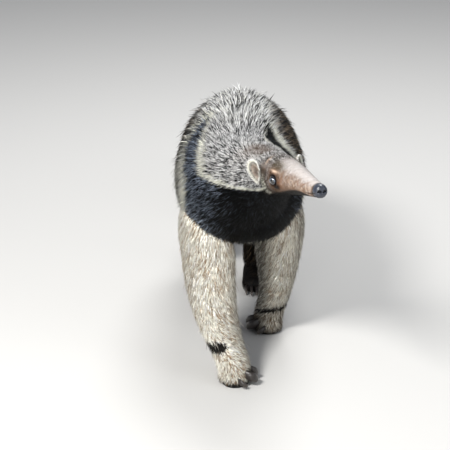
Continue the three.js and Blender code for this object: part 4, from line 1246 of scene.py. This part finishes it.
# Lengths and widths by place, longer behind the leg.
def hindHair(place, angle):
    s, back = hindCoat, smooth(60, 150, np.abs(angle))
    return {
        "long": np.interp(place, s["longPlace"], s["long"]) * mm * (1 + s["longerBehind"] * back),
        "wide": np.interp(place, s["widePlace"], s["wide"]) * mm, "stand": s["stand"] * mm, "way": 10,
        "bend": 8, "sunk": 0.004, "lift": 1.0, "curve": 0.9, "hang": 0.08, "band": 0.4,
    }


# The same short hair all over the foot.
def footHair(place, angle):
    s = footCoat
    return {
        "long": s["long"] * mm, "wide": s["wide"] * mm, "stand": s["stand"] * mm, "way": 0, "bend": 0,
        "sunk": 0.002, "lift": 0.8, "curve": 0.9, "hang": 0.1, "band": 0.4,
    }


# Lengths by place; beside is the sine of the angle, which turns the hair down at the tail's sides,
# and under is 1 below, where it hangs most.
def tailHair(place, angle):
    s, beside = tailCoat, np.sin(np.radians(np.abs(angle)))
    under = smooth(60, 150, np.abs(angle))
    return {
        "long": np.interp(place, s["place"], s["long"]) * mm * (1 + s["longerUnder"] * under),
        "wide": s["wide"] * mm, "stand": s["stand"] * mm, "way": s["way"] * beside,
        "bend": s["bend"] * beside, "sunk": 0.006, "lift": 1.0, "curve": 0.75,
        "hang": s["hang"] + s["hangUnder"] * under, "band": 0.35,
    }


hindCoats = [{
    "form": hindLegs[word], "from": 0.7, "to": 5.6, "count": 8200, "seed": 41 + sides[word], "clump": 0.018,
    "hair": hindHair, "outOf": [trunk],
} for word in sides] + [{
    "form": hindFeet[word], "from": 0.3, "to": 3.7, "count": 2600, "seed": 51 + sides[word], "clump": 0.01,
    "hair": footHair, "outOf": [hindLegs[word]],
} for word in sides]
for coat in hindCoats:
    coat["tones"] = lambda points, place, angle, grain: hindTones(points, grain)
coatPiece("coatHindlegs", "short", hindCoats)
coatPiece("coatTail", "long", [{
    "form": tail, "from": 0.1, "to": 8.7, "count": 16000, "seed": 61, "clump": 0.03, "together": 0.6,
    "hair": tailHair, "outOf": [trunk], "tones": lambda points, place, angle, grain: tailTones(points, grain),
    "loose": {"long": 0.25, "way": 6, "stand": 0.8}, "singles": 0.03,
}])


# Nose pad: the trunk's first station with two comma-shaped nostrils let into its front.
noseShape = {
    "columns": 96, "rows": 60, "swell": 0.7, "nostrilApart": 6.2, "nostrilUp": 1.2, "long": 4.8, "wide": 3.0,
    "deep": 7, "grooveDeep": 1.1, "pebbleSize": 0.0028, "pebbleHigh": 0.5, "tone": (0.021, 0.026, 0.040),
}


# Colours of a piece from closedGrid; the point in the middle of an end takes the mean of its ring.
def putGridTones(piece, tone):
    shown = np.concatenate([tone.reshape(-1, 3), tone[:1].mean(1), tone[-1:].mean(1)])
    putColours(piece.data, "tone", shown)


# Rings that grow from the middle of the front with the sine of the turn. A nostril goes in where its
# ellipse, bent by the square of the distance across, is under 1; pebbles are noise along the normal.
def nosePad():
    s = noseShape
    turns = np.linspace(0.02, 1, s["rows"]) * np.pi / 2
    turn, angle = np.meshgrid(turns, np.linspace(-180, 180, s["columns"], endpoint=False), indexing="ij")
    place = (1 - np.cos(turn)) * 1.12
    size = np.sin(turn) ** 0.9 * (1 + s["swell"] * mm / 0.016)
    grid = ringAt(trunk, place, angle, size, np.ones_like(place))
    here, along, across, over = (value[0, 0] for value in axesAt(trunk, np.zeros((1, 1))))
    x, y = (np.sum((grid - here[:3]) * axis, -1) / mm for axis in (across, over))
    pit = np.zeros_like(x)
    for side in (-1, 1):
        dx, dy = (x - side * s["nostrilApart"]) * side, y - s["nostrilUp"]
        dy = dy + 0.09 * (dx - 1) ** 2
        pit = np.maximum(pit, smooth(1.25, 0.6, np.sqrt((dx / s["long"]) ** 2 + (dy / s["wide"]) ** 2)))
    groove = np.exp(-(x / 0.8) ** 2) * smooth(2, -6, y)
    inward = (pit * s["deep"] + groove * s["grooveDeep"]) * smooth(1.35, 0.9, turn) * mm
    grid = grid + along * inward[..., None]
    pebbles = mottle(grid, s["pebbleSize"], 31)
    outward = unit(grid - here[:3] - along * 8 * mm)
    raised = (pebbles - 0.5) * s["pebbleHigh"] * mm * (1 - pit) * smooth(1.5, 1.2, turn)
    piece = closedGrid("nosePad", grid + outward * raised[..., None], {})
    # Painted light and shade: darker down in the nostrils and between the pebbles, lighter on the pebbles'
    # tops, and a painted highlight in a ring towards the pad's edge.
    shade = (0.5 + 0.9 * pebbles) * (1 - 0.85 * pit) + 0.5 * smooth(1.2, 1.5, turn)
    putGridTones(piece, np.array(s["tone"]) * shade[..., None])
    return piece


noseLook = {"rough": 0.4, "film": 0.35, "filmRough": 0.2, "cells": 700, "bump": (0.35, 0.0005)}
noseMaterial, nodes, links = materialOf("wetNose", Roughness=noseLook["rough"])
links.new(attributeOf(nodes, "tone"), nodes["Principled BSDF"].inputs["Base Color"])
nodes["Principled BSDF"].inputs["Coat Weight"].default_value = noseLook["film"]
nodes["Principled BSDF"].inputs["Coat Roughness"].default_value = noseLook["filmRough"]
cells = nodes.new("ShaderNodeTexVoronoi")
cells.inputs["Scale"].default_value = noseLook["cells"]
links.new(nodes.new("ShaderNodeTexCoord").outputs["Object"], cells.inputs["Vector"])
bumpOn(nodes, links, cells.outputs["Distance"], *noseLook["bump"])
nose = nosePad()
nose.data.materials.append(noseMaterial)
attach(nose, "root")
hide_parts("nose")

# Eyes: a ball with the cornea's bulge at its front; rings of colour run out from its axis. Distances
# in millimetres; pupil and iris are angles off the axis, in radians.
eyeShape = {
    "radius": 11.5, "standsOut": 6.8, "bulge": 0.05, "pupil": 0.47, "iris": 0.68, "ahead": 0.85, "down": 0.2,
    # The iris tone on the next line is a pale blue-grey that stands mostly for painted reflection of the sky.
    "irisAndSkyReflectionTone": (0.23, 0.27, 0.33), "rimTone": (0.012, 0.011, 0.012), "rings": 64, "columns": 72,
    "rough": 0.08, "film": 1.0,
}
eyeMaterial, nodes, links = materialOf("wetEye", Roughness=eyeShape["rough"])
nodes["Principled BSDF"].inputs["Coat Weight"].default_value = eyeShape["film"]
links.new(attributeOf(nodes, "tone"), nodes["Principled BSDF"].inputs["Base Color"])
for word, side in sides.items():
    s = eyeShape
    at, outward, along, over = onHead(faceShape["eyePlace"], side * faceShape["eyeAngle"])
    centre = at + outward * (s["standsOut"] - s["radius"]) * mm
    gaze = unit(outward - along * s["ahead"] - over * s["down"])
    right = unit(np.cross(gaze, over))
    upright = np.cross(right, gaze)
    thetas = np.linspace(0.02, np.pi - 0.02, s["rings"])
    theta, phi = np.meshgrid(thetas, np.linspace(0, 2 * np.pi, s["columns"], endpoint=False), indexing="ij")
    radius = s["radius"] * mm * (1 + s["bulge"] * np.exp(-(theta / 0.5) ** 4))
    away = right * np.cos(phi)[..., None] + upright * np.sin(phi)[..., None]
    ball = gaze * np.cos(theta)[..., None] + away * np.sin(theta)[..., None]
    eye = closedGrid("eye" + word.capitalize(), centre + radius[..., None] * ball, {})
    # The pale blue-grey ring round the pupil is partly the eye's own bluish edge and mostly painted
    # reflection of the sky. Fine streaks run round it, and it is darker on one side, where less is reflected.
    streak = 0.75 + 0.25 * np.sin(phi * 23 + 3 * np.sin(phi * 7))
    streak = streak - 0.45 * smooth(0.2, 0.9, -np.sin(phi + 0.5))
    ring = smooth(s["iris"] + 0.05, s["iris"] - 0.09, theta)
    ring = ring * smooth(s["pupil"] - 0.05, s["pupil"] + 0.1, theta)
    rim = smooth(s["iris"] - 0.05, s["iris"] + 0.1, theta)
    tone = np.array(s["irisAndSkyReflectionTone"]) * (streak * ring)[..., None]
    putGridTones(eye, tone + np.array(s["rimTone"]) * rim[..., None])
    eye.data.materials.append(eyeMaterial)
    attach(eye, "root")
    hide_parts("eye_" + word)

# Claws: a horn carried along a bent line, flattened at its sides, thinning as the root of 1 - u
# squared. A fore claw has its thickness and its line from the foot's middle: inwards, back and up.
# The hind claws stand in a row, side by side, each on the same line of steps back and up.
foreClaws = [
    (11, [[20, -22, 34], [44, -30, 27], [53, -10, 14], [40, 16, 8]]),
    (10, [[24, 8, 34], [45, 6, 29], [54, 22, 16], [42, 44, 8]]),
    (6.5, [[4, -30, 22], [16, -48, 19], [27, -49, 12], [31, -38, 7]]),
]
forefeet = {"right": (-14, -240), "left": (77, 92)}
hindClaws = {
    "count": 5, "apart": 15, "foot": (92, 428), "arc": 3, "thick": 6,
    "line": [(0, 15), (-18, 16), (-32, 10), (-38, 4)],
}
clawLook = {
    "flat": 0.76, "keel": 0.10, "base": (0.022, 0.018, 0.016), "tip": (0.075, 0.06, 0.047), "rough": 0.36,
    "layers": (420, 420, 900), "greys": (0.5, 1.5), "bump": (0.4, 0.0006),
}
clawMaterial, nodes, links = materialOf("darkHorn", Roughness=clawLook["rough"])
place = nodes.new("ShaderNodeTexCoord").outputs["Object"]
layers = noiseOn(nodes, links, place, clawLook["layers"], 4.0)
shadedTone(nodes, links, attributeOf(nodes, "tone"), layers, *clawLook["greys"])
bumpOn(nodes, links, layers, *clawLook["bump"])


# path is the bent line, size its thickness at u, the share of the way from the root to the tip.
def clawPiece(name, node, line, thick):
    knots = (np.array(line, float) - groundMiddle) * mm
    ends = np.vstack([2 * knots[0] - knots[1], knots, 2 * knots[-1] - knots[-2]])
    u = np.linspace(0, 1, 30)
    path = valuesAt(ends, 1 + u * (len(knots) - 1))
    along = unit(np.gradient(path, axis=0))
    across = unit(np.cross(along, [0, 0, 1.0]))
    over = np.cross(across, along)
    angle = np.radians(np.linspace(-180, 180, 26, endpoint=False))
    size = thick * mm * np.sqrt(np.clip(1 - (u * 0.995) ** 2, 0, 1)) * 1.02 * np.minimum(1, 0.35 + 9 * u)
    keel = 1 + clawLook["keel"] * np.cos(2 * angle)
    sideways = across[:, None] * (clawLook["flat"] * np.sin(angle) * keel)[None, :, None]
    upward = over[:, None] * (np.cos(angle) * keel)[None, :, None]
    grid = path[:, None] + size[:, None, None] * (sideways + upward)
    grid[..., 2] = np.maximum(grid[..., 2], 0.001)
    claw = closedGrid(name, grid, {})
    worn = smooth(0.35, 1, u)[:, None, None] + np.zeros((1, len(angle), 1))
    putGridTones(claw, np.array(clawLook["base"]) * (1 - worn) + np.array(clawLook["tip"]) * worn)
    claw.data.materials.append(clawMaterial)
    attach(claw, "root")
    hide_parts(node)


for word, side in sides.items():
    x, y = forefeet[word]
    for number, (thick, line) in enumerate(foreClaws, 1):
        points = [[x - side * inner, y + back, high] for inner, back, high in line]
        clawPiece(f"clawFore{word.capitalize()}{number}", f"claw_fore_{word}_{number}", points, thick)
    pose, (footX, footY) = hindPoses[word], hindClaws["foot"]
    for number in range(hindClaws["count"]):
        off = number - 2
        x = side * (footX - pose["inwards"]) + off * hindClaws["apart"]
        y = footY + pose["stride"] + abs(off) ** 2 * hindClaws["arc"]
        points = [[x, y + back, high] for back, high in hindClaws["line"]]
        clawName, node = f"clawHind{word.capitalize()}{number + 1}", f"claw_hind_{word}_{number + 1}"
        clawPiece(clawName, node, points, hindClaws["thick"])
print("nose, eyes and claws made")

# Floor, light and camera. Lights are round lamps with their place, target, size in metres, power in
# watts and colour.
room = {
    "floorReach": 30, "floorTone": (0.55, 0.545, 0.53, 1), "floorRough": 0.8,
    "air": (0.9, 0.93, 1.0, 1), "airStrength": 0.36,
    "lights": {
        "keyLight": ((-1.7, -3.0, 3.1), (0, -0.4, 0.3), 1.0, 220, (1, 0.985, 0.96)),
        "fillLight": ((3.2, -2.4, 1.8), (0, -0.3, 0.3), 2.4, 32, (0.94, 0.97, 1)),
        "lowLight": ((-0.9, -4.6, 0.8), (0, -0.2, 0.2), 1.2, 68, (1, 0.99, 0.97)),
        "rimLight": ((0.5, 1.6, 3.6), (0, 0, 0.5), 1.6, 105, (1, 1, 1)),
    },
}
wide = room["floorReach"]
floorCorners = np.array([[-wide, -wide, 0], [wide, -wide, 0], [wide, wide, 0], [-wide, wide, 0]], float)
floor = meshOf("floor", floorCorners, np.array([[0, 1, 2, 3]]), False)
floorMaterial, nodes, links = materialOf("paleFloor", Roughness=room["floorRough"])
nodes["Principled BSDF"].inputs["Base Color"].default_value = room["floorTone"]
floor.data.materials.append(floorMaterial)
floor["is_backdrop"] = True

world = bpy.data.worlds.new("softRoom")
world.use_nodes = True
world.node_tree.nodes["Background"].inputs["Color"].default_value = room["air"]
world.node_tree.nodes["Background"].inputs["Strength"].default_value = room["airStrength"]
bpy.context.scene.world = world


# A lamp turned from straight down to its target: by the angle off the vertical, then round it.
def softLight(name, place, target, size, power, colour):
    light = bpy.data.lights.new(name, "AREA")
    light.shape, light.size, light.energy, light.color = "DISK", size, power, colour
    lamp = bpy.data.objects.new(name, light)
    away = np.array(place, float) - np.array(target, float)
    lamp.location = place
    lamp.rotation_euler = (np.arccos(away[2] / np.linalg.norm(away)), 0, np.arctan2(away[0], -away[1]))
    bpy.context.scene.collection.objects.link(lamp)


for name, setting in room["lights"].items():
    softLight(name, *setting)

cameraSetup = {"place": (-0.04749, -4.40241, 1.777), "down": 20, "lens": 128, "sensor": 36}
cameraData = bpy.data.cameras.new("photoCamera")
cameraData.lens, cameraData.sensor_width = cameraSetup["lens"], cameraSetup["sensor"]
camera = bpy.data.objects.new("photoCamera", cameraData)
camera.location = cameraSetup["place"]
camera.rotation_euler = (np.radians(90 - cameraSetup["down"]), 0, 0)
bpy.context.scene.collection.objects.link(camera)
bpy.context.scene.camera = camera
bpy.context.scene.view_settings.view_transform = "Standard"

low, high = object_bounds()
print("box", [round(x, 4) for x in low], [round(x, 4) for x in high])
